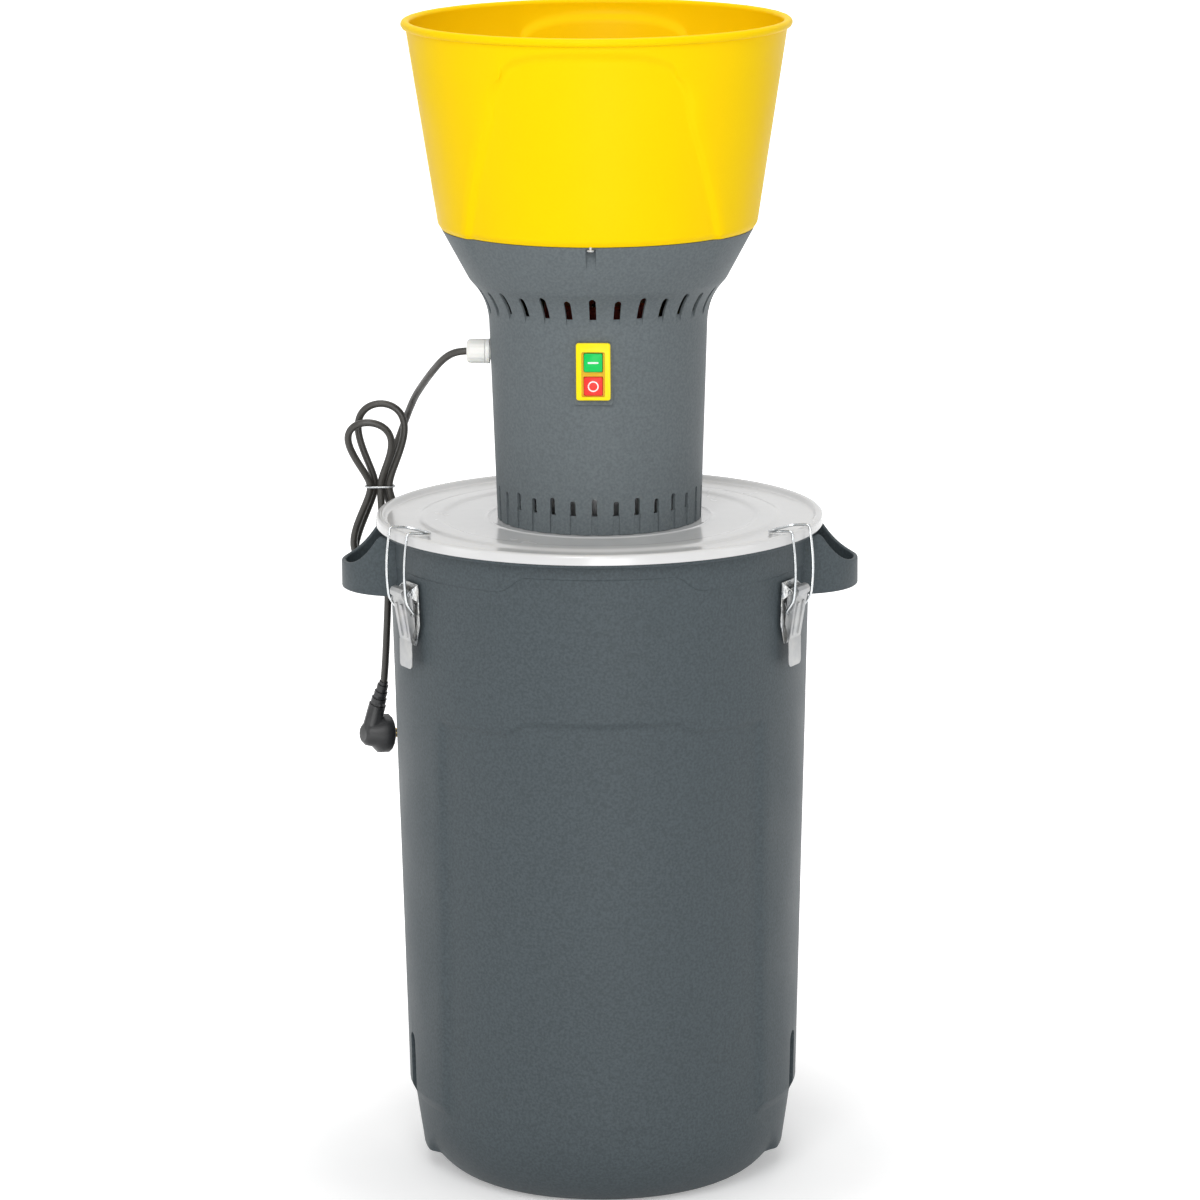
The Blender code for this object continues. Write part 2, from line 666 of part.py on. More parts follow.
def rounded_box(half_width, half_height, corner, steps=3):
    """Outline of a rectangle with round corners, about the origin."""
    points = []
    for number, (sx, sz) in enumerate(((1, 1), (-1, 1), (-1, -1), (1, -1))):
        middle = (sx * (half_width - corner), sz * (half_height - corner))
        points += arc(middle, corner, number * QUARTER, (number + 1) * QUARTER, steps)
    return points


def disc(radius, low, high, segments, bore=0):
    """A disc or, with a bore, a ring about Z. The flats of the bore lie at its radius."""
    bore /= math.cos(math.pi / segments)
    return turned(((bore, low), (radius, low), (radius, high), (bore, high)), segments)


def sector(inner, outer, half_turn, low, high):
    """Part of a ring at the back, between two heights."""
    middle = QUARTER
    near = arc((0, 0), inner, middle + half_turn, middle - half_turn, SECTOR_STEPS)
    far = arc((0, 0), outer, middle - half_turn, middle + half_turn, SECTOR_STEPS)
    return flat_prism(near + far, low, high)


def slot_outline(width, foot, top, steps):
    """A slot with a square foot and a round top, as (x, z)."""
    half = width / 2
    crown = arc((0, top - half), half, 0, HALF_TURN, steps)
    return [(-half, foot), (half, foot), *crown]


def lofted(rings):
    """A closed solid through rings of points. A ring of one point closes an end, and where
    there are no such ends the last ring joins the first."""
    bm = bmesh.new()
    rows = [[bm.verts.new(point) for point in ring] for ring in rings]
    pairs = list(zip(rows, rows[1:]))
    if len(rows[0]) > 1:
        pairs.append((rows[-1], rows[0]))
    for low, high in pairs:
        count = max(len(low), len(high))
        for i in range(count):
            j = (i + 1) % count
            corners = (low[i % len(low)], low[j % len(low)], high[j % len(high)], high[i % len(high)])
            bm.faces.new(list(dict.fromkeys(corners)))
    bmesh.ops.triangulate(bm, faces=bm.faces)
    return bm


def all_round(quarter):
    """Columns all round, from those between the front and the side, as (turn, recessed)."""
    half = quarter + [(HALF_TURN - turn, flag) for turn, flag in reversed(quarter[:-1])]
    return half + [(-turn, flag) for turn, flag in reversed(half[1:-1])]


def panel_columns(inner_edge, outer_edge, inside_shares, outside_shares):
    """Columns that follow the two edges of a recessed panel."""
    inside = [(share * inner_edge, 1) for share in inside_shares]
    outside = [(mix(outer_edge, QUARTER, share), 0) for share in outside_shares]
    return all_round(inside + outside)


def from_front(turn):
    """The turn from the nearer of the front and the back."""
    return min(abs(turn), HALF_TURN - abs(turn))


# Bin


def base_curve(height):
    """Radius of the rounded base."""
    share = part_of(height, 0, BIN_BASE_HEIGHT)
    power = BIN_BASE_POWER_SHARE
    return mix(BIN_BASE_RADIUS, BIN_SHOULDER_RADIUS, (1 - (1 - share) ** power) ** (1 / power))


def bin_taper(height):
    """Radius of the wall above the belt."""
    top = BIN_BELT_HEIGHT + BIN_BELT_RISE
    slope = (BIN_NECK_RADIUS - BIN_BELT_RADIUS) / (BIN_NECK_HEIGHT - top)
    return BIN_BELT_RADIUS + (height - top) * slope


def pad_radius(height):
    """Radius of the side pads below the belt."""
    return mix(BIN_PAD_RADIUS, BIN_SHOULDER_RADIUS, part_of(height, BIN_PAD_HEIGHT, BIN_BELT_HEIGHT))


def arched(low, rise, turn):
    """Height of an edge that is raised in the middle of the front."""
    return low + rise * (1 - eased(from_front(turn), ARCH_FLAT_TURN, ARCH_END_TURN))


def bin_panel_edges(height):
    """Turns of the inner and the outer edge of the panel's flank."""
    above = max(height, BIN_BELT_HEIGHT)
    inner = math.asin((PANEL_HALF_WIDTH - PANEL_FLANK / 2) / bin_taper(above))
    outer = math.asin((PANEL_HALF_WIDTH + PANEL_FLANK / 2) / bin_taper(above))
    spread = 1 - part_of(height, PANEL_FOOT_HEIGHT, BIN_BELT_HEIGHT)
    return mix(inner, PANEL_FOOT_TURN, spread), mix(outer, PANEL_FOOT_TURN + PANEL_FOOT_FLANK, spread)


def bin_ring(height, side, front, rise=0, drop=0):
    """A ring round the bin: its radius at the sides and in the panels, and how far it rises
    at the front and lies below that line."""
    inner, outer = bin_panel_edges(height)
    columns = panel_columns(inner, outer, BIN_INSIDE_SHARES, BIN_OUTSIDE_SHARES)
    ring = []
    for turn, recessed in columns:
        level = arched(height, rise, turn) - drop
        ring.append(polar(front if recessed else side, turn, level))
    return ring


def bin_outside():
    """Rings from the middle of the base up to the top of the flange."""
    belt_top = BIN_BELT_HEIGHT + BIN_BELT_RISE
    rings = [[Vector((0, 0, 0))], bin_ring(0, BIN_BASE_RADIUS, BIN_BASE_RADIUS)]
    for share in BIN_BASE_STEP_SHARES:
        radius = base_curve(share * BIN_BASE_HEIGHT)
        rings.append(bin_ring(share * BIN_BASE_HEIGHT, radius, radius))
    foot = base_curve(BIN_PAD_HEIGHT)
    rings.append(bin_ring(BIN_PAD_HEIGHT, foot, foot))
    pad_foot = BIN_PAD_HEIGHT + BIN_PAD_EDGE
    rings.append(bin_ring(pad_foot, pad_radius(pad_foot), base_curve(pad_foot)))
    height = mix(pad_foot, BIN_BASE_HEIGHT, 1 / 2)
    rings.append(bin_ring(height, pad_radius(height), base_curve(height)))
    rings.append(bin_ring(BIN_BELT_HEIGHT, BIN_SHOULDER_RADIUS, BIN_SHOULDER_RADIUS))
    middle = mix(belt_top, PANEL_HEIGHT, 1 / 2)
    for height in (belt_top, middle):
        rings.append(bin_ring(height, bin_taper(height), bin_taper(height) - PANEL_DEPTH))
    neck = bin_taper(PANEL_HEIGHT)
    rings.append(bin_ring(PANEL_HEIGHT, neck, neck - PANEL_DEPTH, PANEL_ARCH, PANEL_FLANK))
    rings.append(bin_ring(PANEL_HEIGHT, neck, neck, PANEL_ARCH))
    return rings + bin_collar()


def bin_collar():
    """Rings from the collar's foot to the top of the flange."""
    collar = BIN_NECK_RADIUS + BIN_COLLAR_REACH
    flange_foot = BIN_HEIGHT - BIN_FLANGE_THICKNESS
    edge = BIN_FLANGE_RADIUS - BIN_EDGE
    arch = BIN_COLLAR_ARCH
    return [
        bin_ring(BIN_NECK_HEIGHT, BIN_NECK_RADIUS, BIN_NECK_RADIUS, arch, BIN_COLLAR_REACH),
        bin_ring(BIN_NECK_HEIGHT, collar, collar, arch),
        bin_ring(flange_foot - BIN_FLANGE_RISE, collar, collar),
        bin_ring(flange_foot, BIN_FLANGE_RADIUS, BIN_FLANGE_RADIUS),
        bin_ring(BIN_HEIGHT - BIN_EDGE, BIN_FLANGE_RADIUS, BIN_FLANGE_RADIUS),
        bin_ring(BIN_HEIGHT, edge, edge),
    ]


def bin_inside():
    """Rings from the mouth down to the middle of the floor."""
    depth = BIN_WALL + PANEL_DEPTH
    belt_top = BIN_BELT_HEIGHT + BIN_BELT_RISE
    mouth = BIN_NECK_RADIUS - depth
    belt = BIN_BELT_RADIUS - depth
    rings = [
        bin_ring(BIN_HEIGHT, mouth + BIN_EDGE, mouth + BIN_EDGE),
        bin_ring(BIN_HEIGHT - BIN_EDGE, mouth, mouth),
        bin_ring(BIN_NECK_HEIGHT, mouth, mouth),
        bin_ring(belt_top, belt, belt),
    ]
    for share in BIN_INNER_STEP_SHARES:
        height = mix(BIN_FLOOR, BIN_BELT_HEIGHT, share)
        radius = base_curve(share * BIN_BASE_HEIGHT) - depth
        rings.append(bin_ring(height, radius, radius))
    rings.append([Vector((0, 0, BIN_FLOOR))])
    return rings


def bin_handle():
    """A D-shaped grip on the +X side: a wall bent round a half circle, its top sloped."""
    sections = []
    for i in range(HANDLE_STEPS + 1):
        angle = mix(-QUARTER, QUARTER, i / HANDLE_STEPS)
        reach = HANDLE_PLACE + HANDLE_RADIUS * math.cos(angle)
        tip = HANDLE_PLACE + HANDLE_RADIUS
        top = min(HANDLE_TIP_TOP + HANDLE_RISE_SHARE * (tip - reach), HANDLE_TOP)
        outer, inner, edge = HANDLE_RADIUS, HANDLE_RADIUS - HANDLE_WALL, HANDLE_EDGE
        section = (
            (inner, HANDLE_FOOT + edge),
            (inner + edge, HANDLE_FOOT),
            (outer - edge, HANDLE_FOOT),
            (outer, HANDLE_FOOT + edge),
            (outer, top - edge),
            (outer - edge, top),
            (inner + edge, top),
            (inner, top - edge),
        )
        along = (math.cos(angle), math.sin(angle))
        sections.append([Vector((HANDLE_PLACE + r * along[0], r * along[1], z)) for r, z in section])
    ends = [[sum(ring, Vector()) / len(ring)] for ring in (sections[0], sections[-1])]
    return lofted([ends[0], *sections, ends[1]])


def side_groove(turn):
    """Cutter of one grip groove."""
    half = GROOVE_WIDTH / 2
    crown = arc((0, GROOVE_TOP - half), half, 0, HALF_TURN, 6)
    outline = [(-half, BIN_BELT_HEIGHT), (half, BIN_BELT_HEIGHT), *crown]
    depth = BIN_BELT_RADIUS - GROOVE_DEPTH
    return move(prism(outline, -BIN_FLANGE_RADIUS, -depth), Matrix.Rotation(turn, 4, "Z"))


def make_bin():
    body = solid("bin", lofted(bin_outside() + bin_inside()), "bin_plastic")
    join(body, bin_handle())
    join(body, move(bin_handle(), Matrix.Rotation(HALF_TURN, 4, "Z")))
    turns = (GROOVE_TURN, HALF_TURN - GROOVE_TURN, -GROOVE_TURN, GROOVE_TURN - HALF_TURN)
    cut(body, merged([side_groove(turn) for turn in turns]))
    return body


# Lid and the plates on it


def thickened(path, wall):
    """Closed outline of a sheet: the path, and back along it at the wall's distance on its right."""
    points = [Vector(point) for point in path]
    under = []
    for i, point in enumerate(points):
        before = (point - points[i - 1]).normalized() if i else None
        after = (points[i + 1] - point).normalized() if i + 1 < len(points) else None
        before = before or after
        after = after or before
        normal = Vector((before.y + after.y, -before.x - after.x)).normalized()
        spread = max(normal.dot(Vector((after.y, -after.x))), MITRE_LIMIT_SHARE)
        under.append(point + normal * wall / spread)
    return [tuple(point) for point in points + under[::-1]]


def lid_path():
    """Top side of the lid from its hole to the end of its skirt, as (radius, height)."""
    top = LID_HEIGHT
    bead = LID_BEAD_WIDTH / 2
    slope = LID_RING_SLOPE / 2
    crest = top + LID_CREST_RISE
    path = [(LID_HOLE_RADIUS, top), (LID_BEAD_RADIUS - bead, top)]
    path += [(LID_BEAD_RADIUS, top + LID_BEAD_RISE), (LID_BEAD_RADIUS + bead, top)]
    path += [(LID_RING_INNER - slope, top), (LID_RING_INNER + slope, top + LID_RING_RISE)]
    path += [(LID_RING_OUTER - slope, top + LID_RING_RISE), (LID_RING_OUTER + slope, top)]
    path.append((LID_RIM_INNER - LID_SHEET, top))
    for along, up in LID_HEM_SHARES[:2]:
        path.append((mix(LID_RIM_INNER, LID_CREST_RADIUS, along), mix(top, crest, up)))
    for along, up in LID_HEM_SHARES[2:]:
        path.append((mix(LID_RADIUS, LID_CREST_RADIUS, along * along), mix(top, crest, up)))
    path.append((LID_RADIUS, top - LID_SKIRT))
    return path


def lid_outline():
    """Outline of the lid's sheet. The small bead is pressed in its top side only."""
    path = lid_path()
    plain = [path[0], *path[4:10], path[-2], path[-1]]
    plain[-3] = (LID_CREST_RADIUS, LID_HEIGHT + LID_CREST_RISE)
    underside = thickened(plain, LID_SHEET)[len(plain) :]
    return path + underside


def chute_gap():
    """Cutter that lets the chute through a plate."""
    inner = CHUTE_INNER - PIN_PLAY
    outer = CHUTE_OUTER + PIN_PLAY
    half = CHUTE_HALF_TURN + PIN_PLAY / CHUTE_INNER
    low = LID_HEIGHT - LID_SHEET - CHAMBER_PLATE_THICKNESS - OVERRUN
    high = LID_HEIGHT + MOTOR_PLATE_THICKNESS + OVERRUN
    return sector(inner, outer, half, low, high)


def make_lid(head):
    lid = solid("lid", turned(lid_outline(), LID_SEGMENTS), "lid_sheet", head)
    cut(lid, chute_gap())
    low = BIN_HEIGHT + GAP
    ring = disc(GASKET_INNER + GASKET_WIDTH, low, low + GASKET_HEIGHT, LID_SEGMENTS, GASKET_INNER)
    solid("lid_gasket", ring, "rubber", head)
    bore = SHAFT_RADIUS + OVERRUN
    top = LID_HEIGHT - LID_SHEET - GAP
    plate = disc(CHAMBER_PLATE_RADIUS, top - CHAMBER_PLATE_THICKNESS, top, PLATE_SEGMENTS, bore)
    cut(solid("chamber_plate", plate, "steel", head), chute_gap())
    low = LID_HEIGHT + GAP
    high = low + MOTOR_PLATE_THICKNESS
    radius = HOUSING_FOOT_RADIUS - HOUSING_WALL - 2 * GAP
    plate = disc(radius, low, high, PLATE_SEGMENTS, bore)
    cut(solid("motor_plate", plate, "aluminium", head), chute_gap())


# Housing


def housing_outline():
    """(radius, height) up the outside of the housing."""
    low = LID_HEIGHT + GAP
    outline = [(HOUSING_FOOT_RADIUS, low), (HOUSING_NECK_RADIUS, HOUSING_NECK_HEIGHT)]
    outline.append((HOUSING_FLARE_RADIUS, HOUSING_FLARE_HEIGHT))
    for up, out in FLARE_STEP_SHARES:
        radius = mix(HOUSING_FLARE_RADIUS, HOUSING_KINK_RADIUS, out)
        outline.append((radius, mix(HOUSING_FLARE_HEIGHT, HOUSING_KINK_HEIGHT, up)))
    outline.append((HOUSING_KINK_RADIUS, HOUSING_KINK_HEIGHT))
    outline.append((flare_radius(HOUSING_FADE_HEIGHT), HOUSING_FADE_HEIGHT))
    outline.append((HOUSING_TOP_RADIUS, HOUSING_TOP_HEIGHT))
    return outline


def flare_radius(height):
    """Radius on the cone above the kink."""
    share = (height - HOUSING_KINK_HEIGHT) / (HOUSING_TOP_HEIGHT - HOUSING_KINK_HEIGHT)
    return mix(HOUSING_KINK_RADIUS, HOUSING_TOP_RADIUS, share)


def wall_radius(height):
    """Radius of the straight part of the housing."""
    share = part_of(height, LID_HEIGHT, HOUSING_NECK_HEIGHT)
    return mix(HOUSING_FOOT_RADIUS, HOUSING_NECK_RADIUS, share)


def arch_inset(turn, height):
    """How far the flare is drawn in below the hopper's arches."""
    fade = part_of(height, HOUSING_FADE_HEIGHT, HOUSING_TOP_HEIGHT) * HOPPER_PANEL_DEPTH
    edge = HOPPER_PANEL_FLANK / HOUSING_TOP_RADIUS
    away = from_front(math.remainder(turn, math.tau))
    return fade * (1 - eased(away, ARCH_FOOT_TURN - edge, ARCH_FOOT_TURN + 3 * edge))


def housing_ring(radius, height):
    turns = [math.tau * (i + 1 / 2) / HOUSING_COLUMNS for i in range(HOUSING_COLUMNS)]
    return [polar(radius - arch_inset(turn, height), turn, height) for turn in turns]


def vent_slots():
    """Cutters of both rows of slots."""
    tools = []
    top = HOUSING_KINK_RADIUS
    for i in range(SLOT_COUNT):
        turn = Matrix.Rotation(math.tau * i / SLOT_COUNT, 4, "Z")
        rise = UPPER_SLOT_SHORT if i % 2 else UPPER_SLOT_TALL
        outline = slot_outline(
            UPPER_SLOT_WIDTH, UPPER_SLOT_FOOT, UPPER_SLOT_FOOT + rise, SLOT_ARCH_STEPS
        )
        low = HOUSING_NECK_RADIUS - HOUSING_WALL - OVERRUN
        tools.append(move(prism(outline, -top - OVERRUN, -low), turn))
        rise = LOWER_SLOT_SHORT if i % 2 else LOWER_SLOT_TALL
        outline = slot_outline(
            LOWER_SLOT_WIDTH, LOWER_SLOT_FOOT, LOWER_SLOT_FOOT + rise, SLOT_ARCH_STEPS
        )
        low = HOUSING_FOOT_RADIUS - HOUSING_WALL - OVERRUN
        tools.append(move(prism(outline, -top, -low), turn))
    return merged(tools)


def foot_grooves():
    """Cutters of the shallow grooves from the lower slots down to the foot."""
    tools = []
    half = FOOT_GROOVE_WIDTH / 2
    foot = LID_HEIGHT - OVERRUN
    outline = ((-half, foot), (half, foot), (half, LOWER_SLOT_FOOT), (-half, LOWER_SLOT_FOOT))
    depth = wall_radius((LID_HEIGHT + LOWER_SLOT_FOOT) / 2) - FOOT_GROOVE_DEPTH
    for i in range(SLOT_COUNT):
        turn = Matrix.Rotation(math.tau * i / SLOT_COUNT, 4, "Z")
        tools.append(move(prism(outline, -HOUSING_NECK_RADIUS - OVERRUN, -depth), turn))
    return merged(tools)


def pocket_block(half, back, low, high):
    """A block at the front of the flare, out to beyond the rim."""
    outline = ((-half, low), (half, low), (half, high), (-half, high))
    return prism(outline, -HOUSING_TOP_RADIUS - OVERRUN, -back)


def pocket_boss(turn):
    """Material behind a screw pocket, kept under the slope of the flare."""
    half = POCKET_WIDTH / 2 + POCKET_WALL
    back = POCKET_BACK_RADIUS - POCKET_WALL
    low = POCKET_FOOT
    high = HOUSING_TOP_HEIGHT - GAP
    outer = [flare_radius(z) - arch_inset(turn, z) - HOUSING_WALL / 2 for z in (low, high)]
    outline = ((-back, low), (-outer[0], low), (-outer[1], high), (-back, high))
    return move(side_prism(outline, -half, half), Matrix.Rotation(turn, 4, "Z"))


def screw_hole(radius, low, high):
    return move(disc(radius, low, high, 10), Matrix.Translation((0, -SCREW_PLACE, 0)))


def make_housing(head):
    outline = housing_outline()
    plain = [outline[0], outline[1], outline[2], outline[-3], outline[-1]]
    inner = [(radius - HOUSING_WALL, height) for radius, height in reversed(plain)]
    rings = [housing_ring(radius, height) for radius, height in outline + inner]
    housing = solid("housing", lofted(rings), "housing_plastic", head)
    turns = [math.tau * i / POCKET_COUNT for i in range(POCKET_COUNT)]
    join(housing, merged([pocket_boss(turn) for turn in turns]))
    ceiling = HOUSING_TOP_HEIGHT - POCKET_CEILING
    half = POCKET_WIDTH / 2
    pockets = [pocket_block(half, POCKET_BACK_RADIUS, POCKET_FOOT - OVERRUN, ceiling) for _ in turns]
    cut(housing, merged([move(p, Matrix.Rotation(t, 4, "Z")) for p, t in zip(pockets, turns)]))
    low = ceiling - OVERRUN
    high = HOUSING_TOP_HEIGHT + OVERRUN
    holes = [screw_hole(SCREW_RADIUS + PIN_PLAY, low, high) for _ in turns]
    cut(housing, merged([move(h, Matrix.Rotation(t, 4, "Z")) for h, t in zip(holes, turns)]))
    cut(housing, vent_slots())
    cut(housing, foot_grooves())
    join(housing, switch_seat())
    cut(housing, switch_hole())
    cut(housing, gland_hole())
    return housing


# Switch


def switch_outline(margin):
    """Outline of the switch plate, made larger all round by a margin."""
    half_width = SWITCH_PLATE_WIDTH / 2 + margin
    half_height = SWITCH_PLATE_HEIGHT / 2 + margin
    points = rounded_box(half_width, half_height, SWITCH_PLATE_CORNER)
    return [(x, z + SWITCH_HEIGHT) for x, z in points]


def switch_seat():
    """Flat boss of the housing that the switch plate lies on."""
    outline = switch_outline(SWITCH_SEAT_MARGIN)
    return prism(outline, -SWITCH_SEAT_PLACE, -SWITCH_SEAT_PLACE + SWITCH_SEAT_DEPTH)


def switch_hole():
    outline = switch_outline(GAP - SWITCH_BODY_MARGIN)
    back = HOUSING_FOOT_RADIUS - HOUSING_WALL - OVERRUN
    return prism(outline, -SWITCH_SEAT_PLACE - OVERRUN, -back)


def button_outline(side, play):
    half = BUTTON_SIZE / 2 + play
    middle = SWITCH_HEIGHT + side * BUTTON_SPREAD
    return [(x, z + middle) for x, z in rounded_box(half, half, BUTTON_CORNER, 2)]


def make_switch(head):
    back = SWITCH_SEAT_PLACE + GAP
    front = back + SWITCH_PLATE_DEPTH
    plate = solid("switch_plate", prism(switch_outline(0), -front, -back), "switch_yellow", head)
    body_front = SWITCH_SEAT_PLACE
    inner = switch_outline(-SWITCH_BODY_MARGIN)
    shape = prism(inner, -body_front, -body_front + SWITCH_BODY_DEPTH)
    body = solid("switch_body", shape, "black_plastic", head)
    for side in (1, -1):
        window = button_outline(side, BUTTON_PLAY)
        cut(plate, prism(window, -front - OVERRUN, -back + OVERRUN))
        cut(body, prism(window, -front, -body_front + BUTTON_WELL))
    face = front + BUTTON_PROUD
    for name, side, look in (("start_button", 1, "start_green"), ("stop_button", -1, "stop_red")):
        middle = SWITCH_HEIGHT + side * BUTTON_SPREAD
        outline = [(x, z - middle) for x, z in button_outline(side, 0)]
        solid(name, prism(outline, 0, BUTTON_DEPTH), look, head, (0, -face, middle))


# Cord gland on the left of the head


def sideways(bm, place):
    """A solid about Z laid along -X at the gland's height, its foot at a distance from the axis."""
    return move(bm, Matrix.Translation((-place, 0, GLAND_HEIGHT)) @ Matrix.Rotation(-QUARTER, 4, "Y"))


def gland_wall():
    """Radius of the housing at the gland."""
    return wall_radius(GLAND_HEIGHT)


def gland_hole():
    length = HOUSING_WALL + 2 * OVERRUN
    place = gland_wall() - HOUSING_WALL - OVERRUN
    return sideways(disc(GLAND_BARREL_RADIUS + PIN_PLAY, 0, length, 20), place)


def make_gland(head):
    start = gland_wall() + GAP
    inside = HOUSING_WALL + GAP + GLAND_INSIDE
    outline = ((GLAND_BORE, -inside), (GLAND_BARREL_RADIUS, -inside), (GLAND_BARREL_RADIUS, 0))
    outline += ((GLAND_RADIUS, 0), (GLAND_RADIUS, GLAND_FLANGE), (GLAND_BORE, GLAND_FLANGE))
    solid("gland_body", sideways(turned(outline, 16), start), "white_plastic", head)
    low = GLAND_FLANGE + GAP
    high = low + GLAND_NUT_LENGTH
    crown = arc((GLAND_RADIUS - GLAND_NUT_ROUND, high - GLAND_NUT_ROUND), GLAND_NUT_ROUND, 0, QUARTER, 3)
    outline = [(GLAND_BORE, low), (GLAND_RADIUS, low), *crown, (GLAND_BORE, high)]
    solid("gland_nut", sideways(turned(outline, 12), start), "white_plastic", head)
    low = HOUSING_WALL + 3 * GAP
    ring = disc(LOCKNUT_RADIUS, -low - LOCKNUT_THICKNESS, -low, 6, GLAND_BARREL_RADIUS + PIN_PLAY)
    solid("gland_locknut", sideways(ring, start - 2 * GAP), "white_plastic", head)


# Motor


def make_motor(head, rotor):
    low = BELL_FOOT
    bearing_low = low + BELL_WALL
    outline = (
        (SHAFT_RADIUS + OVERRUN, low),
        (BELL_RADIUS, low),
        (BELL_RADIUS, BELL_TOP),
        (BELL_RADIUS - BELL_WALL, BELL_TOP),
        (BELL_RADIUS - BELL_WALL, bearing_low),
        (BEARING_RADIUS + GAP + BELL_WALL, bearing_low),
        (BEARING_RADIUS + GAP + BELL_WALL, bearing_low + BEARING_WIDTH),
        (BEARING_RADIUS + GAP, bearing_low + BEARING_WIDTH),
        (BEARING_RADIUS + GAP, bearing_low),
        (SHAFT_RADIUS + OVERRUN, bearing_low),
    )
    solid("lower_bell", turned(outline, 16), "aluminium", head)
    make_bearing("lower_bearing", bearing_low + GAP, head)
    stator_low = BELL_TOP + GAP
    stator_top = COVER_FOOT - GAP
    ring = disc(STATOR_RADIUS, stator_low, stator_top, 20, STATOR_BORE)
    solid("stator", ring, "lamination", head)
    places = (stator_low - GAP - WINDING_HEIGHT, stator_top + GAP)
    for name, place in zip(("lower_winding", "upper_winding"), places):
        ring = disc(WINDING_RADIUS, place, place + WINDING_HEIGHT, 16, WINDING_BORE)
        solid(name, ring, "copper", head)
    make_motor_cover(head)
    make_rotor(rotor, stator_low, stator_top)


def make_bearing(name, low, head):
    ring = disc(BEARING_RADIUS, low, low + BEARING_WIDTH - 2 * GAP, 16, SHAFT_RADIUS + GAP)
    solid(name, ring, "steel", head)


def make_motor_cover(head):
    """Upper motor cover: a pot with vents in its top, and a bearing seat inside."""
    low, high = COVER_FOOT, COVER_TOP
    seat_low = low + WINDING_HEIGHT + 2 * GAP
    seat = BEARING_RADIUS + GAP
    web = seat_low + BEARING_WIDTH
    outline = (
        (seat, seat_low),
        (seat + COVER_WALL, seat_low),
        (seat + COVER_WALL, web - COVER_WALL),
        (COVER_RADIUS - COVER_WALL, web - COVER_WALL),
        (COVER_RADIUS - COVER_WALL, low),
        (COVER_RADIUS, low),
        (COVER_RADIUS, high - COVER_WALL),
        (COVER_RADIUS - COVER_WALL, high),
        (SHAFT_RADIUS + OVERRUN, high),
        (SHAFT_RADIUS + OVERRUN, high - COVER_WALL),
        (COVER_RADIUS - COVER_WALL, high - COVER_WALL),
        (COVER_RADIUS - COVER_WALL, web),
        (seat, web),
    )
    cover = solid("motor_cover", turned(outline, 16), "motor_red", head)
    make_bearing("upper_bearing", seat_low + GAP, head)
    tools = []
    reach = (FAN_HUB_RADIUS + OVERRUN, COVER_RADIUS - COVER_WALL - OVERRUN)
    for i in range(COVER_VENTS):
        half = COVER_VENT_WIDTH / 2
        shape = box((-half, reach[0], web + OVERRUN), (half, reach[1], high + OVERRUN))
        tools.append(move(shape, Matrix.Rotation(math.tau * i / COVER_VENTS, 4, "Z")))
    cut(cover, merged(tools))


def make_rotor(rotor, stator_low, stator_top):
    """Shaft, armature, fan, blade and nut, which turn together."""
    shaft = disc(SHAFT_RADIUS, SHAFT_FOOT, COVER_TOP + SHAFT_PROUD, 14)
    solid("motor_shaft", shaft, "steel", rotor)
    low = stator_low + ARMATURE_MARGIN
    high = stator_top - ARMATURE_MARGIN
    ring = disc(ARMATURE_RADIUS, low, high, 16, SHAFT_RADIUS + GAP)
    solid("armature", ring, "lamination", rotor)
    low = COVER_TOP - COVER_WALL - FAN_MARGIN - FAN_HEIGHT
    plate = disc(FAN_RADIUS, low, low + FAN_PLATE, 16, SHAFT_RADIUS + GAP)
    fan = solid("cooling_fan", plate, "black_plastic", rotor)
    hub = disc(FAN_HUB_RADIUS, low, low + FAN_HEIGHT, 8, SHAFT_RADIUS + GAP)
    join(fan, hub)
    half = FAN_BLADE_THICKNESS / 2
    blades = []
    for i in range(FAN_BLADES):
        start = FAN_HUB_RADIUS - FAN_BLADE_THICKNESS
        shape = box((-half, start, low + FAN_PLATE / 2), (half, FAN_RADIUS - GAP, low + FAN_HEIGHT - GAP))
        blades.append(move(shape, Matrix.Rotation(math.tau * i / FAN_BLADES, 4, "Z")))
    join(fan, merged(blades))
    make_blade(rotor)


def make_blade(rotor):
    """A flat bar with both leading edges bevelled, held on the shaft by a nut."""
    half, wide, rise = BLADE_REACH, BLADE_WIDTH / 2, BLADE_THICKNESS
    section = ((-wide, 0), (wide - BLADE_BEVEL, 0), (wide, rise), (-wide + BLADE_BEVEL, rise))
    bar = side_prism([(y, z + BLADE_HEIGHT) for y, z in section], -half, half)
    blade = solid("mill_blade", bar, "steel", rotor)
    hole = disc(SHAFT_RADIUS + GAP, BLADE_HEIGHT - OVERRUN, BLADE_HEIGHT + OVERRUN, 16)
    cut(blade, hole)
    high = BLADE_HEIGHT - GAP
    nut = disc(BLADE_NUT_RADIUS, high - BLADE_NUT_HEIGHT, high, 6, SHAFT_RADIUS + GAP)
    solid("blade_nut", nut, "zinc", rotor)


# Mill


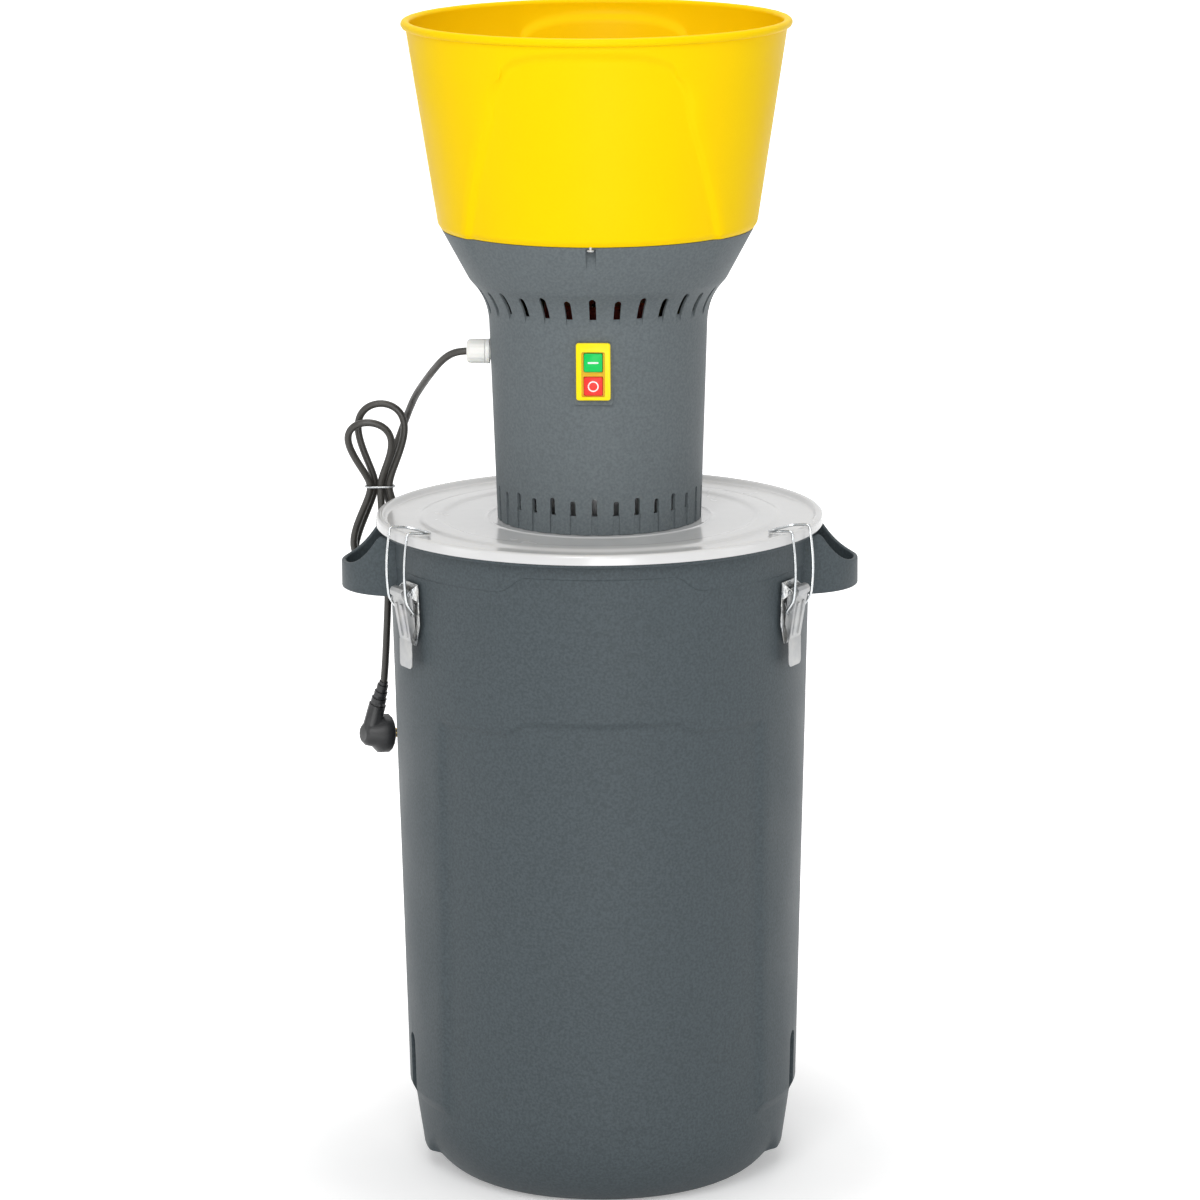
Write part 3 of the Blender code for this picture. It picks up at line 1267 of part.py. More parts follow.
def make_mill(head):
    top = LID_HEIGHT - LID_SHEET - CHAMBER_PLATE_THICKNESS - 2 * GAP
    low = top - SIEVE_HEIGHT
    ring = disc(SIEVE_RADIUS, low, top, 2 * SIEVE_SLOTS, SIEVE_RADIUS - SIEVE_WALL)
    sieve = solid("sieve_ring", ring, "steel", head)
    half = SIEVE_SLOT_WIDTH / 2
    foot = low + SIEVE_SLOT_MARGIN
    crown = top - SIEVE_SLOT_MARGIN
    reach = (SIEVE_RADIUS - SIEVE_WALL - OVERRUN, SIEVE_RADIUS + OVERRUN)
    slots = []
    for i in range(SIEVE_SLOTS):
        shape = box((-half, reach[0], foot), (half, reach[1], crown))
        slots.append(move(shape, Matrix.Rotation(math.tau * (i + 1 / 4) / SIEVE_SLOTS, 4, "Z")))
    cut(sieve, merged(slots))
    high = low - GAP
    bottom = high - MILL_COVER_THICKNESS
    plate = disc(CHAMBER_PLATE_RADIUS, bottom, high, PLATE_SEGMENTS)
    cover = solid("mill_cover", plate, "steel", head)
    wing_top = bottom - GAP
    for i in range(MILL_STUD_COUNT):
        turn = math.tau * i / MILL_STUD_COUNT
        place = polar(MILL_STUD_PLACE, turn, 0)
        hole = disc(MILL_STUD_RADIUS + PIN_PLAY, bottom - OVERRUN, high + OVERRUN, 8)
        cut(cover, move(hole, Matrix.Translation(place)))
        stud = disc(MILL_STUD_RADIUS, wing_top - WING_HEIGHT - OVERRUN, top, 8)
        solid(f"mill_stud_{i + 1}", stud, "zinc", head, place)
        make_wing_nut(f"wing_nut_{i + 1}", wing_top, head, place)


def make_wing_nut(name, high, head, place):
    low = high - WING_HEIGHT
    bore = MILL_STUD_RADIUS + GAP
    nut = solid(name, disc(WING_RADIUS, low, high, 8, bore), "zinc", head, place)
    half = WING_THICKNESS / 2
    start = (bore + WING_RADIUS) / 2
    for side in (1, -1):
        ends = sorted((side * start, side * WING_SPAN / 2))
        wing = box((ends[0], -half, low - WING_HEIGHT / 2), (ends[1], half, high - GAP))
        join(nut, wing)


# Hopper, shutter and chute


def hopper_radius(height):
    """Radius of the hopper's outer wall."""
    low = HOUSING_TOP_HEIGHT + HOPPER_CORNER
    slope = (HOPPER_LIP_RADIUS - HOPPER_FOOT_RADIUS) / (HOPPER_LIP_HEIGHT - low)
    return HOPPER_FOOT_RADIUS + (height - low) * slope


def arch_turn(height):
    """Half the turn that the arch takes at a height."""
    if height > ARCH_LEG_HEIGHT:
        share = part_of(height, ARCH_LEG_HEIGHT, ARCH_SHOULDER_HEIGHT)
        return mix(ARCH_LEG_TURN, ARCH_SHOULDER_TURN, share * share * share)
    return mix(ARCH_FOOT_TURN, ARCH_LEG_TURN, part_of(height, HOUSING_TOP_HEIGHT, ARCH_LEG_HEIGHT))


def arch_rise(turn):
    """How far the arch rises above its shoulder."""
    share = min(from_front(turn) / ARCH_SHOULDER_TURN, 1)
    return ARCH_RISE * math.sqrt(1 - share**3)


def hopper_ring(height, inset=0, recess=1, arched_by=0, radius=None):
    """A ring of the hopper: recessed in the arches, or following their top."""
    flank = HOPPER_PANEL_FLANK / HOPPER_FOOT_RADIUS
    edge = arch_turn(height)
    columns = panel_columns(edge - flank, edge + flank, HOPPER_INSIDE_SHARES, HOPPER_OUTSIDE_SHARES)
    ring = []
    for turn, recessed in columns:
        level = height + arched_by * arch_rise(turn)
        depth = HOPPER_PANEL_DEPTH * recess if recessed else 0
        reach = hopper_radius(level) if radius is None else radius
        ring.append(polar(reach - depth - inset, turn, level))
    return ring


def hopper_levels(inset):
    """Rings of the wall between its corner and its lip, upward."""
    low = HOUSING_TOP_HEIGHT + HOPPER_CORNER
    rings = [hopper_ring(low, inset)]
    for share in HOPPER_ROW_SHARES:
        rings.append(hopper_ring(mix(low, ARCH_SHOULDER_HEIGHT, share), inset))
    rings.append(hopper_ring(ARCH_SHOULDER_HEIGHT - HOPPER_PANEL_FLANK, inset, 1, 1))
    rings.append(hopper_ring(ARCH_SHOULDER_HEIGHT + HOPPER_PANEL_FLANK, inset, 0, 1))
    return rings


def hopper_lip():
    """Rings of the round lip, from outside to inside."""
    rings = []
    middle = (HOPPER_LIP_RADIUS, HOPPER_LIP_HEIGHT)
    path = arc(middle, HOPPER_LIP_ROUND, HOPPER_LIP_START, HOPPER_LIP_END, 5)
    for radius, height in path:
        rings.append(hopper_ring(height, 0, 0, 0, radius))
    return rings


def hopper_foot():
    """Rings from the inside of the wall through the funnel and the floor, and round underneath."""
    low = HOUSING_TOP_HEIGHT + GAP
    floor = FUNNEL_FLOOR_HEIGHT
    inner_top = low + FUNNEL_WALL
    corner = mix(HOUSING_TOP_RADIUS, HOPPER_FOOT_RADIUS, HOPPER_CORNER_SHARE)
    rings = [
        hopper_ring(inner_top + FUNNEL_WALL, 0, 0, 0, FUNNEL_TOP_RADIUS + FUNNEL_WALL),
        hopper_ring(floor + FUNNEL_WALL, 0, 0, 0, FUNNEL_FLOOR_RADIUS),
        [Vector((0, 0, floor + FUNNEL_WALL))],
    ]
    under = [
        [Vector((0, 0, floor))],
        hopper_ring(floor, 0, 0, 0, FUNNEL_FLOOR_RADIUS - FUNNEL_WALL / 2),
        hopper_ring(low, 0, 0, 0, FUNNEL_TOP_RADIUS),
        hopper_ring(low, 0, 1, 0, HOUSING_TOP_RADIUS),
        hopper_ring(low + HOPPER_CORNER / 2, 0, 1, 0, corner),
    ]
    return rings, under


def make_hopper(head):
    inner, under = hopper_foot()
    rings = under + hopper_levels(0) + hopper_lip() + hopper_levels(HOPPER_WALL)[::-1] + inner
    hopper = solid("hopper", lofted(rings), "hopper_plastic", head)
    floor = FUNNEL_FLOOR_HEIGHT
    low = floor - OVERRUN
    high = floor + FUNNEL_WALL + OVERRUN
    cut(hopper, sector(WINDOW_INNER, WINDOW_OUTER, WINDOW_HALF_TURN, low, high))
    cut(hopper, disc(STUD_RADIUS + PIN_PLAY, low, high, 12))
    turns = [math.tau * i / POCKET_COUNT for i in range(POCKET_COUNT)]
    low = HOUSING_TOP_HEIGHT - OVERRUN
    high = HOUSING_TOP_HEIGHT + SCREW_BITE + 2 * GAP
    holes = [screw_hole(SCREW_RADIUS + PIN_PLAY, low, high) for _ in turns]
    cut(hopper, merged([move(h, Matrix.Rotation(t, 4, "Z")) for h, t in zip(holes, turns)]))
    for i, turn in enumerate(turns):
        make_hopper_screw(f"hopper_screw_{i + 1}", turn, head)


def make_hopper_screw(name, turn, head):
    """A pan head under the pocket's ceiling, its shank up into the hopper."""
    high = HOUSING_TOP_HEIGHT + SCREW_BITE
    seat = HOUSING_TOP_HEIGHT - POCKET_CEILING - GAP
    low = seat - SCREW_HEAD_HEIGHT
    head_radius = SCREW_HEAD_RADIUS
    outline = ((0, low), (head_radius * SCREW_CROWN_SHARE, low))
    outline += ((head_radius, mix(low, seat, SCREW_EDGE_SHARE)),)
    outline += ((head_radius, seat), (SCREW_RADIUS, seat), (SCREW_RADIUS, high), (0, high))
    solid(name, turned(outline, 10), "zinc", head, polar(SCREW_PLACE, turn, 0))


def make_shutter(head):
    """A disc on the hopper's floor with a window and a finned knob, turned on a stud."""
    low = FUNNEL_FLOOR_HEIGHT + FUNNEL_WALL + GAP
    plate_top = low + SHUTTER_THICKNESS
    high = plate_top + SHUTTER_KNOB_HEIGHT
    disc_shape = disc(SHUTTER_RADIUS, 0, SHUTTER_THICKNESS, 26)
    shutter = solid("feed_shutter", disc_shape, "black_plastic", head, (0, 0, low))
    join(shutter, disc(SHUTTER_KNOB_RADIUS, SHUTTER_THICKNESS / 2, high - low - OVERRUN, 12))
    fin = SHUTTER_FIN_THICKNESS / 2
    reach = SHUTTER_KNOB_RADIUS * 2
    shape = box((-reach, -fin, SHUTTER_THICKNESS / 2), (reach, fin, high - low))
    join(shutter, shape)
    well = high - low - STUD_HEAD_HEIGHT - OVERRUN
    stem, rim = STUD_RADIUS + PIN_PLAY, STUD_HEAD_RADIUS + PIN_PLAY
    bore = ((0, -OVERRUN), (stem, -OVERRUN), (stem, well), (rim, well), (rim, high), (0, high))
    cut(shutter, turned(bore, 10))
    cut(shutter, sector(WINDOW_INNER, WINDOW_OUTER, WINDOW_HALF_TURN, -OVERRUN, OVERRUN))
    foot = FUNNEL_FLOOR_HEIGHT - OVERRUN
    seat = low + well + GAP
    outline = ((0, foot), (STUD_RADIUS, foot), (STUD_RADIUS, seat), (STUD_HEAD_RADIUS, seat))
    outline += ((STUD_HEAD_RADIUS, seat + STUD_HEAD_HEIGHT), (0, seat + STUD_HEAD_HEIGHT))
    solid("shutter_stud", turned(outline, 10), "zinc", head)


def make_chute(head):
    """A sheet duct from the hopper's floor down past the motor into the mill."""
    low = LID_HEIGHT - LID_SHEET - CHAMBER_PLATE_THICKNESS - GAP
    high = FUNNEL_FLOOR_HEIGHT - GAP
    outside = sector(CHUTE_INNER, CHUTE_OUTER, CHUTE_HALF_TURN, low, high)
    chute = solid("feed_chute", outside, "steel", head)
    half = CHUTE_HALF_TURN - CHUTE_WALL / CHUTE_INNER
    inner = CHUTE_INNER + CHUTE_WALL
    outer = CHUTE_OUTER - CHUTE_WALL
    cut(chute, sector(inner, outer, half, low - OVERRUN, high + OVERRUN))


# Toggle latches


def tube(name, points, radius, look, parent, place=(0, 0, 0), cyclic=False):
    """A round bar or wire through points, with closed ends."""
    curve = bpy.data.curves.new(name, "CURVE")
    curve.dimensions = "3D"
    curve.bevel_depth = radius
    curve.bevel_resolution = 1
    curve.use_fill_caps = not cyclic
    line = curve.splines.new("POLY")
    line.points.add(len(points) - 1)
    for spot, point in zip(line.points, points):
        spot.co = (*point, 1)
    line.use_cyclic_u = cyclic
    obj = bpy.data.objects.new(name, curve)
    bpy.context.collection.objects.link(obj)
    obj.parent = parent
    obj.location = place
    curve.materials.append(material(name, look))
    return obj


def filleted(points, reach, steps=2):
    """The same path with its corners rounded."""
    spots = [Vector(point) for point in points]
    path = [spots[0]]
    for before, corner, after in zip(spots, spots[1:], spots[2:]):
        nearest = min((before - corner).length, (after - corner).length)
        cut_back = min(reach, nearest * FILLET_LIMIT_SHARE)
        start = corner + (before - corner).normalized() * cut_back
        end = corner + (after - corner).normalized() * cut_back
        for i in range(steps + 1):
            share = i / steps
            path.append(start.lerp(corner, share).lerp(corner.lerp(end, share), share))
    path.append(spots[-1])
    return path


def latch_plate():
    """Pentagon plate on the bin wall, with two ears that hold the hinge pin."""
    outline = (
        (-LATCH_PLATE_TOP_HALF, LATCH_PLATE_TOP),
        (-LATCH_PLATE_WIDE_HALF, LATCH_PLATE_WIDE),
        (-LATCH_PLATE_FOOT_HALF, LATCH_PLATE_FOOT),
        (LATCH_PLATE_FOOT_HALF, LATCH_PLATE_FOOT),
        (LATCH_PLATE_WIDE_HALF, LATCH_PLATE_WIDE),
        (LATCH_PLATE_TOP_HALF, LATCH_PLATE_TOP),
    )
    return prism(outline, 0, LATCH_SHEET)


def latch_ear(side):
    half = LATCH_EAR_HEIGHT / 2
    middle = (LEVER_PIVOT_OUT, LEVER_PIVOT_HEIGHT)
    crown = arc(middle, LATCH_EAR_ROUND, -QUARTER, QUARTER, 4)
    root = LATCH_SHEET / 2
    outline = [(root, LEVER_PIVOT_HEIGHT - half), *crown, (root, LEVER_PIVOT_HEIGHT + half)]
    places = sorted((side * (LATCH_EAR_PLACE - LATCH_SHEET / 2), side * (LATCH_EAR_PLACE + LATCH_SHEET / 2)))
    return side_prism(outline, *places)


def pin_hole(out, height, radius):
    """Cutter along the wall, for a hinge pin or a wire end."""
    shape = disc(radius, -LATCH_PLATE_WIDE_HALF, LATCH_PLATE_WIDE_HALF, 8)
    turn = Matrix.Rotation(QUARTER, 4, "Y")
    return move(shape, Matrix.Translation((0, out, height)) @ turn)


def lever_path():
    """Bent sheet from the curl over the pivot down to the tab, as (out, height)."""
    middle = (CURL_OUT, LEVER_PIVOT_HEIGHT)
    path = arc(middle, CURL_RADIUS, CURL_START, CURL_END, CURL_STEPS)
    return path + [(LEVER_KNEE_OUT + LATCH_SHEET - GAP, LEVER_KNEE_HEIGHT - GAP)]


def lever_flank(side):
    """Side plate of the lever, which carries both pivots."""
    reach = LATCH_PIN_RADIUS + LATCH_SHEET
    inner = LATCH_SHEET / 2
    outline = (
        (LEVER_PIVOT_OUT - reach, LEVER_PIVOT_HEIGHT + inner),
        (LEVER_PIVOT_OUT - inner, LEVER_PIVOT_HEIGHT + reach),
        (CURL_OUT, LEVER_PIVOT_HEIGHT + CURL_RADIUS - inner),
        (CURL_OUT + CURL_RADIUS - inner, LEVER_PIVOT_HEIGHT),
        (CURL_OUT + CURL_RADIUS / 2 - inner, LEVER_PIVOT_HEIGHT - CURL_RADIUS),
        (LEVER_KNEE_OUT + inner, LEVER_KNEE_HEIGHT),
        (FLANK_FOOT_OUT, mix(LEVER_KNEE_HEIGHT, BAIL_PIVOT_HEIGHT, FLANK_FOOT_SHARE)),
        (BAIL_PIVOT_OUT - BAIL_WIRE - LATCH_SHEET, BAIL_PIVOT_HEIGHT),
    )
    places = sorted((side * (LEVER_HALF_WIDTH - LATCH_SHEET), side * LEVER_HALF_WIDTH))
    return side_prism(outline, *places)


def lever_tab():
    """Flat finger tab with rounded lower corners."""
    half = LEVER_TAB_HALF
    corner = LEVER_TAB_CORNER
    foot = LEVER_TAB_FOOT
    left = arc((-half + corner, foot + corner), corner, HALF_TURN, HALF_TURN + QUARTER, 3)
    right = arc((half - corner, foot + corner), corner, -QUARTER, 0, 3)
    top = LEVER_KNEE_HEIGHT + LATCH_SHEET
    outline = [(-half, top), *left, *right, (half, top)]
    return prism(outline, LEVER_KNEE_OUT, LEVER_KNEE_OUT + LATCH_SHEET)


def lever_rib(side):
    """Pressed rib along the lever's face."""
    start = Vector((CURL_OUT + CURL_RADIUS / 2, LEVER_PIVOT_HEIGHT - CURL_RADIUS))
    end = Vector((LEVER_KNEE_OUT + LATCH_SHEET, LEVER_KNEE_HEIGHT))
    along = (end - start).normalized()
    outward = Vector((-along.y, along.x))
    start = start + along * RIB_PLACE
    end = end - along * RIB_PLACE
    outer = [start + outward * RIB_RISE, end + outward * RIB_RISE]
    inner = [end - outward * LATCH_SHEET / 2, start - outward * LATCH_SHEET / 2]
    outline = [tuple(point) for point in outer + inner]
    places = sorted((side * (RIB_PLACE - RIB_WIDTH / 2), side * (RIB_PLACE + RIB_WIDTH / 2)))
    return side_prism(outline, *places)


def bail_path():
    """Wire from the left pivot up, over the rim, round the tip and back down."""
    half = BAIL_HALF_WIDTH
    root = BAIL_PIVOT_HEIGHT
    shoulder = LEVER_PIVOT_HEIGHT
    over = BAIL_OVER_HEIGHT
    inward = LID_CREST_RADIUS - LATCH_WALL_RADIUS - BAIL_STRAIGHT
    tip = BAIL_TIP_RADIUS - LATCH_WALL_RADIUS
    side = [
        (BAIL_INNER_HALF, BAIL_PIVOT_OUT, root),
        (half, BAIL_PIVOT_OUT, root),
        (half, BAIL_OUT, mix(root, shoulder, BAIL_SHOULDER_SHARE)),
        (half, BAIL_OUT, over),
        (half, inward, mix(over, BAIL_TIP_HEIGHT, BAIL_SLOPE_SHARE)),
        (BAIL_TIP_HALF, tip, BAIL_TIP_HEIGHT),
    ]
    mirror = [(-x, y, z) for x, y, z in reversed(side)]
    return filleted(side + mirror, BAIL_BEND)


def make_latch(name, turn):
    """One toggle latch: plate, rivet, pin, lever and bail."""
    stand = frame(f"{name}_latch", polar(LATCH_WALL_RADIUS, turn, 0), turn - HALF_TURN, None)
    plate = solid(f"{name}_latch_plate", latch_plate(), "zinc", stand)
    for side in (1, -1):
        join(plate, latch_ear(side))
    cut(plate, pin_hole(LEVER_PIVOT_OUT, LEVER_PIVOT_HEIGHT, LATCH_PIN_RADIUS + PIN_PLAY))
    rivet = disc(RIVET_RADIUS, 0, RIVET_HEIGHT, 10)
    standing = Matrix.Rotation(-QUARTER, 4, "X")
    move(rivet, standing)
    place = (0, LATCH_SHEET + GAP, BAIL_PIVOT_HEIGHT - RIVET_DROP)
    solid(f"{name}_latch_rivet", rivet, "zinc", stand, place)
    pin = move(disc(LATCH_PIN_RADIUS, -LATCH_PIN_HALF, LATCH_PIN_HALF, 10), Matrix.Rotation(QUARTER, 4, "Y"))
    hinge = (0, LEVER_PIVOT_OUT, LEVER_PIVOT_HEIGHT)
    solid(f"{name}_latch_pin", pin, "steel", stand, hinge)
    make_lever(f"{name}_lever", stand, hinge)
    root = (0, BAIL_PIVOT_OUT, BAIL_PIVOT_HEIGHT)
    path = [Vector(point) - Vector(root) for point in bail_path()]
    tube(f"{name}_bail", path, BAIL_WIRE, "steel", stand, root)


def make_lever(name, stand, hinge):
    """The lever, its origin on the hinge pin."""
    origin = Matrix.Translation(-Vector(hinge))
    width = LEVER_HALF_WIDTH
    face = side_prism(thickened(lever_path(), LATCH_SHEET), -width, width)
    lever = solid(name, move(face, origin), "zinc", stand, hinge)
    for side in (1, -1):
        join(lever, move(lever_flank(side), origin))
        join(lever, move(lever_rib(side), origin))
    join(lever, move(lever_tab(), origin))
    cut(lever, move(pin_hole(LEVER_PIVOT_OUT, LEVER_PIVOT_HEIGHT, LATCH_PIN_RADIUS + PIN_PLAY), origin))
    cut(lever, move(pin_hole(BAIL_PIVOT_OUT, BAIL_PIVOT_HEIGHT, BAIL_WIRE + PIN_PLAY), origin))


# Mains cord


def smooth_route(points, step):
    """Points at even steps along a smooth curve through the route points."""
    spots = np.array([tuple(point) for point in points])
    padded = np.vstack([2 * spots[0] - spots[1], spots, 2 * spots[-1] - spots[-2]])
    dense = []
    for a, b, c, d in zip(padded, padded[1:], padded[2:], padded[3:]):
        for t in np.linspace(0, 1, ROUTE_COUNT, endpoint=False):
            cubic = (-a + 3 * b - 3 * c + d) * t**3 + (2 * a - 5 * b + 4 * c - d) * t**2
            dense.append((cubic + (c - a) * t + 2 * b) / 2)
    dense.append(spots[-1])
    return even_steps(np.array(dense), step)


def even_steps(points, step):
    lengths = np.concatenate([[0], np.cumsum(np.linalg.norm(np.diff(points, axis=0), axis=1))])
    count = max(int(round(lengths[-1] / step)), 1)
    marks = np.linspace(0, lengths[-1], count + 1)
    return np.stack([np.interp(marks, lengths, points[:, k]) for k in range(3)], axis=1)


def relaxed(points):
    """The same points with small kinks evened out, the ends kept."""
    for _ in range(RELAX_COUNT):
        points = np.vstack([points[:1], (points[:-2] + 2 * points[1:-1] + points[2:]) / 4, points[-1:]])
    return points


def hank_points():
    """Middle line of the hank: four lobes through a waist, each by one formula."""
    strands = [(HANK_PITCH * u, HANK_PITCH * v) for u, v in STRAND_PLACE_SHARES]
    waist = np.array(HANK_PLACE)
    points = []
    lobes = zip(LOBE_HEIGHTS, LOBE_WIDTHS, LOBE_LEANS, LOBE_DEPTHS, strands, strands[1:])
    for height, width, lean, depth, start, end in lobes:
        side = 1 if start[0] > end[0] else -1
        for t in np.linspace(0, 1, LOBE_COUNT, endpoint=False):
            swell = math.sin(math.pi * t)
            spread = LOBE_BULGE_SHARE * math.sin(math.tau * t) * swell**LOBE_NECK_SHARE
            bulge = side * width / 2 * spread
            u = mix(start[0], end[0], t) + bulge + lean * swell
            v = mix(start[1], end[1], t) + depth * swell
            points.append(waist + (u, v, height * swell))
    points.append(waist + (*strands[-1], 0))
    return np.array(points)


def least_gap(points, radius):
    """Least gap of a tube to itself, between places further apart along it than a close bend."""
    fine = even_steps(points, radius / 2)
    apart = int(round(8 * radius / (radius / 2)))
    least = math.inf
    for i in range(len(fine) - apart):
        least = min(least, float(np.linalg.norm(fine[i + apart :] - fine[i], axis=1).min()))
    return least - 2 * radius


def cord_line():
    """The whole middle line, and where the hank starts and ends on it."""
    hank = hank_points()
    exit_point = np.array(CORD_EXIT)
    lead = smooth_route([exit_point, *map(np.array, LEAD_ROUTE), hank[0]], HANK_STEP / 4)
    plug_end = np.array(PLUG_TOP) + np.array(relief_axis()) * GAP / 2
    tail = smooth_route([hank[-1], *map(np.array, TAIL_ROUTE), plug_end], HANK_STEP / 4)
    hank = even_steps(hank, HANK_STEP / 4)
    whole = relaxed(np.vstack([lead, hank[1:], tail[1:]]))
    return whole, len(lead), len(lead) + len(hank) - 2


def tangent(points, place):
    along = points[place + 1] - points[place - 1]
    return along / np.linalg.norm(along)


def cord_piece(name, line, start_along, end_along, step):
    """One stretch of the cord. Both ends are straight and square for a diameter, and stop half
    a gap short of the next piece."""
    points = even_steps(line, step)
    reach = 2 * CORD_RADIUS
    start = (points[0] + start_along * GAP / 2, points[0] + start_along * reach)
    end = (points[-1] - end_along * reach, points[-1] - end_along * GAP / 2)
    path = np.vstack([*start, points[1:-1], *end])
    tube(name, path, CORD_RADIUS, "cord_rubber", None)


def make_cord():
    """Lead, hank and tail of the mains cord on one smooth line, with a wire tie."""
    whole, first, last = cord_line()
    gap = least_gap(whole, CORD_RADIUS)
    print(f"cord: least gap to itself {gap * 1000:.2f} mm")
    if gap < HANK_CLEARANCE:
        raise ValueError("the cord's strands come too close together")
    first -= HANK_MARGIN_COUNT
    last += HANK_MARGIN_COUNT
    starts = tangent(whole, 1), tangent(whole, first), tangent(whole, last)
    plug_along = -np.array(relief_axis())
    cord_piece("cord_lead", whole[: first + 1], starts[0], starts[1], CORD_STEP)
    cord_piece("cord_hank", whole[first : last + 1], starts[1], starts[2], HANK_STEP)
    cord_piece("cord_tail", whole[last:], starts[2], plug_along, CORD_STEP)
    length = np.linalg.norm(np.diff(whole, axis=0), axis=1).sum()
    print(f"cord: {length:.3f} m from the gland to the plug")
    make_tie()


def make_tie():
    """A wire loop round the five strands at the waist."""
    reach = CORD_RADIUS + TIE_CLEARANCE + TIE_WIRE
    front = HANK_PITCH
    back = HANK_PITCH * STRAND_PLACE_SHARES[0][0]
    depth = HANK_PITCH * STRAND_PLACE_SHARES[0][1]
    corners = ((-front, 0), (front, 0), (back, depth), (-back, depth))
    starts = (HALF_TURN, -QUARTER, TIE_SLANT, QUARTER)
    ends = (HALF_TURN + QUARTER, TIE_SLANT, QUARTER, HALF_TURN - TIE_SLANT)
    path = []
    for corner, start, end in zip(corners, starts, ends):
        path += [(x, y, 0) for x, y in arc(corner, reach, start, end, 3)]
    tube("cord_tie", path, TIE_WIRE, "steel", None, HANK_PLACE, cyclic=True)


def relief_axis():
    """Direction from the plug's body up its strain relief."""
    foot = Vector(PLUG_PLACE) - Vector((PLUG_BACK_LENGTH / 2, 0, 0))
    return (Vector(PLUG_TOP) - foot).normalized()


def make_plug():
    """Angled mains plug: a round face with two pins, a grip and a ribbed strain relief."""
    turn = Matrix.Rotation(PLUG_TURN, 4, "Z") @ Matrix.Rotation(QUARTER + PLUG_DROP, 4, "Y")
    place = Matrix.Translation(PLUG_PLACE) @ turn
    edge = PLUG_EDGE
    low = -PLUG_BACK_LENGTH
    high = PLUG_FACE_LENGTH
    outline = (
        (0, low),
        *((PLUG_BACK_RADIUS * out, low * back) for out, back in PLUG_BACK_SHARES),
        (PLUG_RADIUS - edge, 0),
        (PLUG_RADIUS, edge),
        (PLUG_RADIUS, high - edge),
        (PLUG_RADIUS - edge, high),
        (0, high),
    )
    plug = solid("mains_plug", move(turned(outline, 16), place), "black_plastic")
    join(plug, plug_relief())
    for name, side in (("plug_pin_1", 1), ("plug_pin_2", -1)):
        start = high + GAP
        pin = turned(
            (
                (0, start),
                (PLUG_PIN_RADIUS, start),
                (PLUG_PIN_RADIUS, start + PLUG_PIN_LENGTH - edge),
                (PLUG_PIN_RADIUS - edge, start + PLUG_PIN_LENGTH),
                (0, start + PLUG_PIN_LENGTH),
            ),
            12,
        )
        solid(name, move(pin, place @ Matrix.Translation((0, side * PLUG_PIN_SPREAD, 0))), "brass")


def plug_relief():
    """Ribbed sleeve from the plug's body up to the cord."""
    top = Vector(PLUG_TOP)
    foot = Vector(PLUG_PLACE) - Vector((PLUG_BACK_LENGTH / 2, 0, 0))
    length = (top - foot).length
    outline = [(0, 0), (RELIEF_FOOT_RADIUS, 0)]
    ribbed = length / 2
    rib = ribbed / RELIEF_RIBS
    for i in range(RELIEF_RIBS):
        low = length - ribbed + i * rib
        radius = mix(RELIEF_FOOT_RADIUS, RELIEF_RADIUS, i / (RELIEF_RIBS - 1))
        outline += [(radius, low), (radius, low + rib / 2)]
        outline += [(radius - RELIEF_GROOVE, low + rib / 2), (radius - RELIEF_GROOVE, low + rib)]
    outline.append((0, length))
    turn = (top - foot).to_track_quat("Z", "Y").to_matrix().to_4x4()
    return move(turned(outline, 9), Matrix.Translation(foot) @ turn)


def main():
    clear_scene()
    make_bin()
    for name, turn in (("right", LATCH_TURN), ("left", -LATCH_TURN)):
        make_latch(name, turn)
    head = frame("head", (0, 0, 0), HEAD_TURN, None)
    rotor = frame("rotor", (0, 0, 0), 0, head)
    make_lid(head)
    make_housing(head)
    make_switch(head)
    make_gland(head)
    make_motor(head, rotor)
    make_mill(head)
    make_hopper(head)
    make_shutter(head)
    make_chute(head)
    make_cord()
    make_plug()


main()
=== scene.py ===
import json
import math
from functools import cache, partial

import bmesh
import bpy
import numpy as np
from mathutils import Matrix, Vector

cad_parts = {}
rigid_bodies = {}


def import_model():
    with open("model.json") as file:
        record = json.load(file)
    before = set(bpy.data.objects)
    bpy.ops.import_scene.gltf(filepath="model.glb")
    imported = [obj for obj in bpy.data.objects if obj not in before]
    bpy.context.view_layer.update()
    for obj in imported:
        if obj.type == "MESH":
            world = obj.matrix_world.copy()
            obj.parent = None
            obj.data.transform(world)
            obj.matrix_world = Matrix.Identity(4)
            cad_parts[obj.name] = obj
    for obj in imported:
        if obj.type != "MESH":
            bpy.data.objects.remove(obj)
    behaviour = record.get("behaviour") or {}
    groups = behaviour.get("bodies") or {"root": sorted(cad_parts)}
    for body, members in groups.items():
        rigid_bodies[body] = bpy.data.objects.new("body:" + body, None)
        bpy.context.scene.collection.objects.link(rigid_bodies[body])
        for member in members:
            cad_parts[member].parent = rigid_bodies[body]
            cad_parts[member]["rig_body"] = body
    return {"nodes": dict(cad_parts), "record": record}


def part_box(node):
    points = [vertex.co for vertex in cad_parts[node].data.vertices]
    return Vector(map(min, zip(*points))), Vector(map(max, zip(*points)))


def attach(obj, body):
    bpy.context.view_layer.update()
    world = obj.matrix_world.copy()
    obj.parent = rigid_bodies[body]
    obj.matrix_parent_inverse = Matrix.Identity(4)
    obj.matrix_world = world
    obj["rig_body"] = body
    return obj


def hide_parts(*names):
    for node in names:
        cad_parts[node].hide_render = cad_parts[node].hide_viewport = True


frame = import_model()

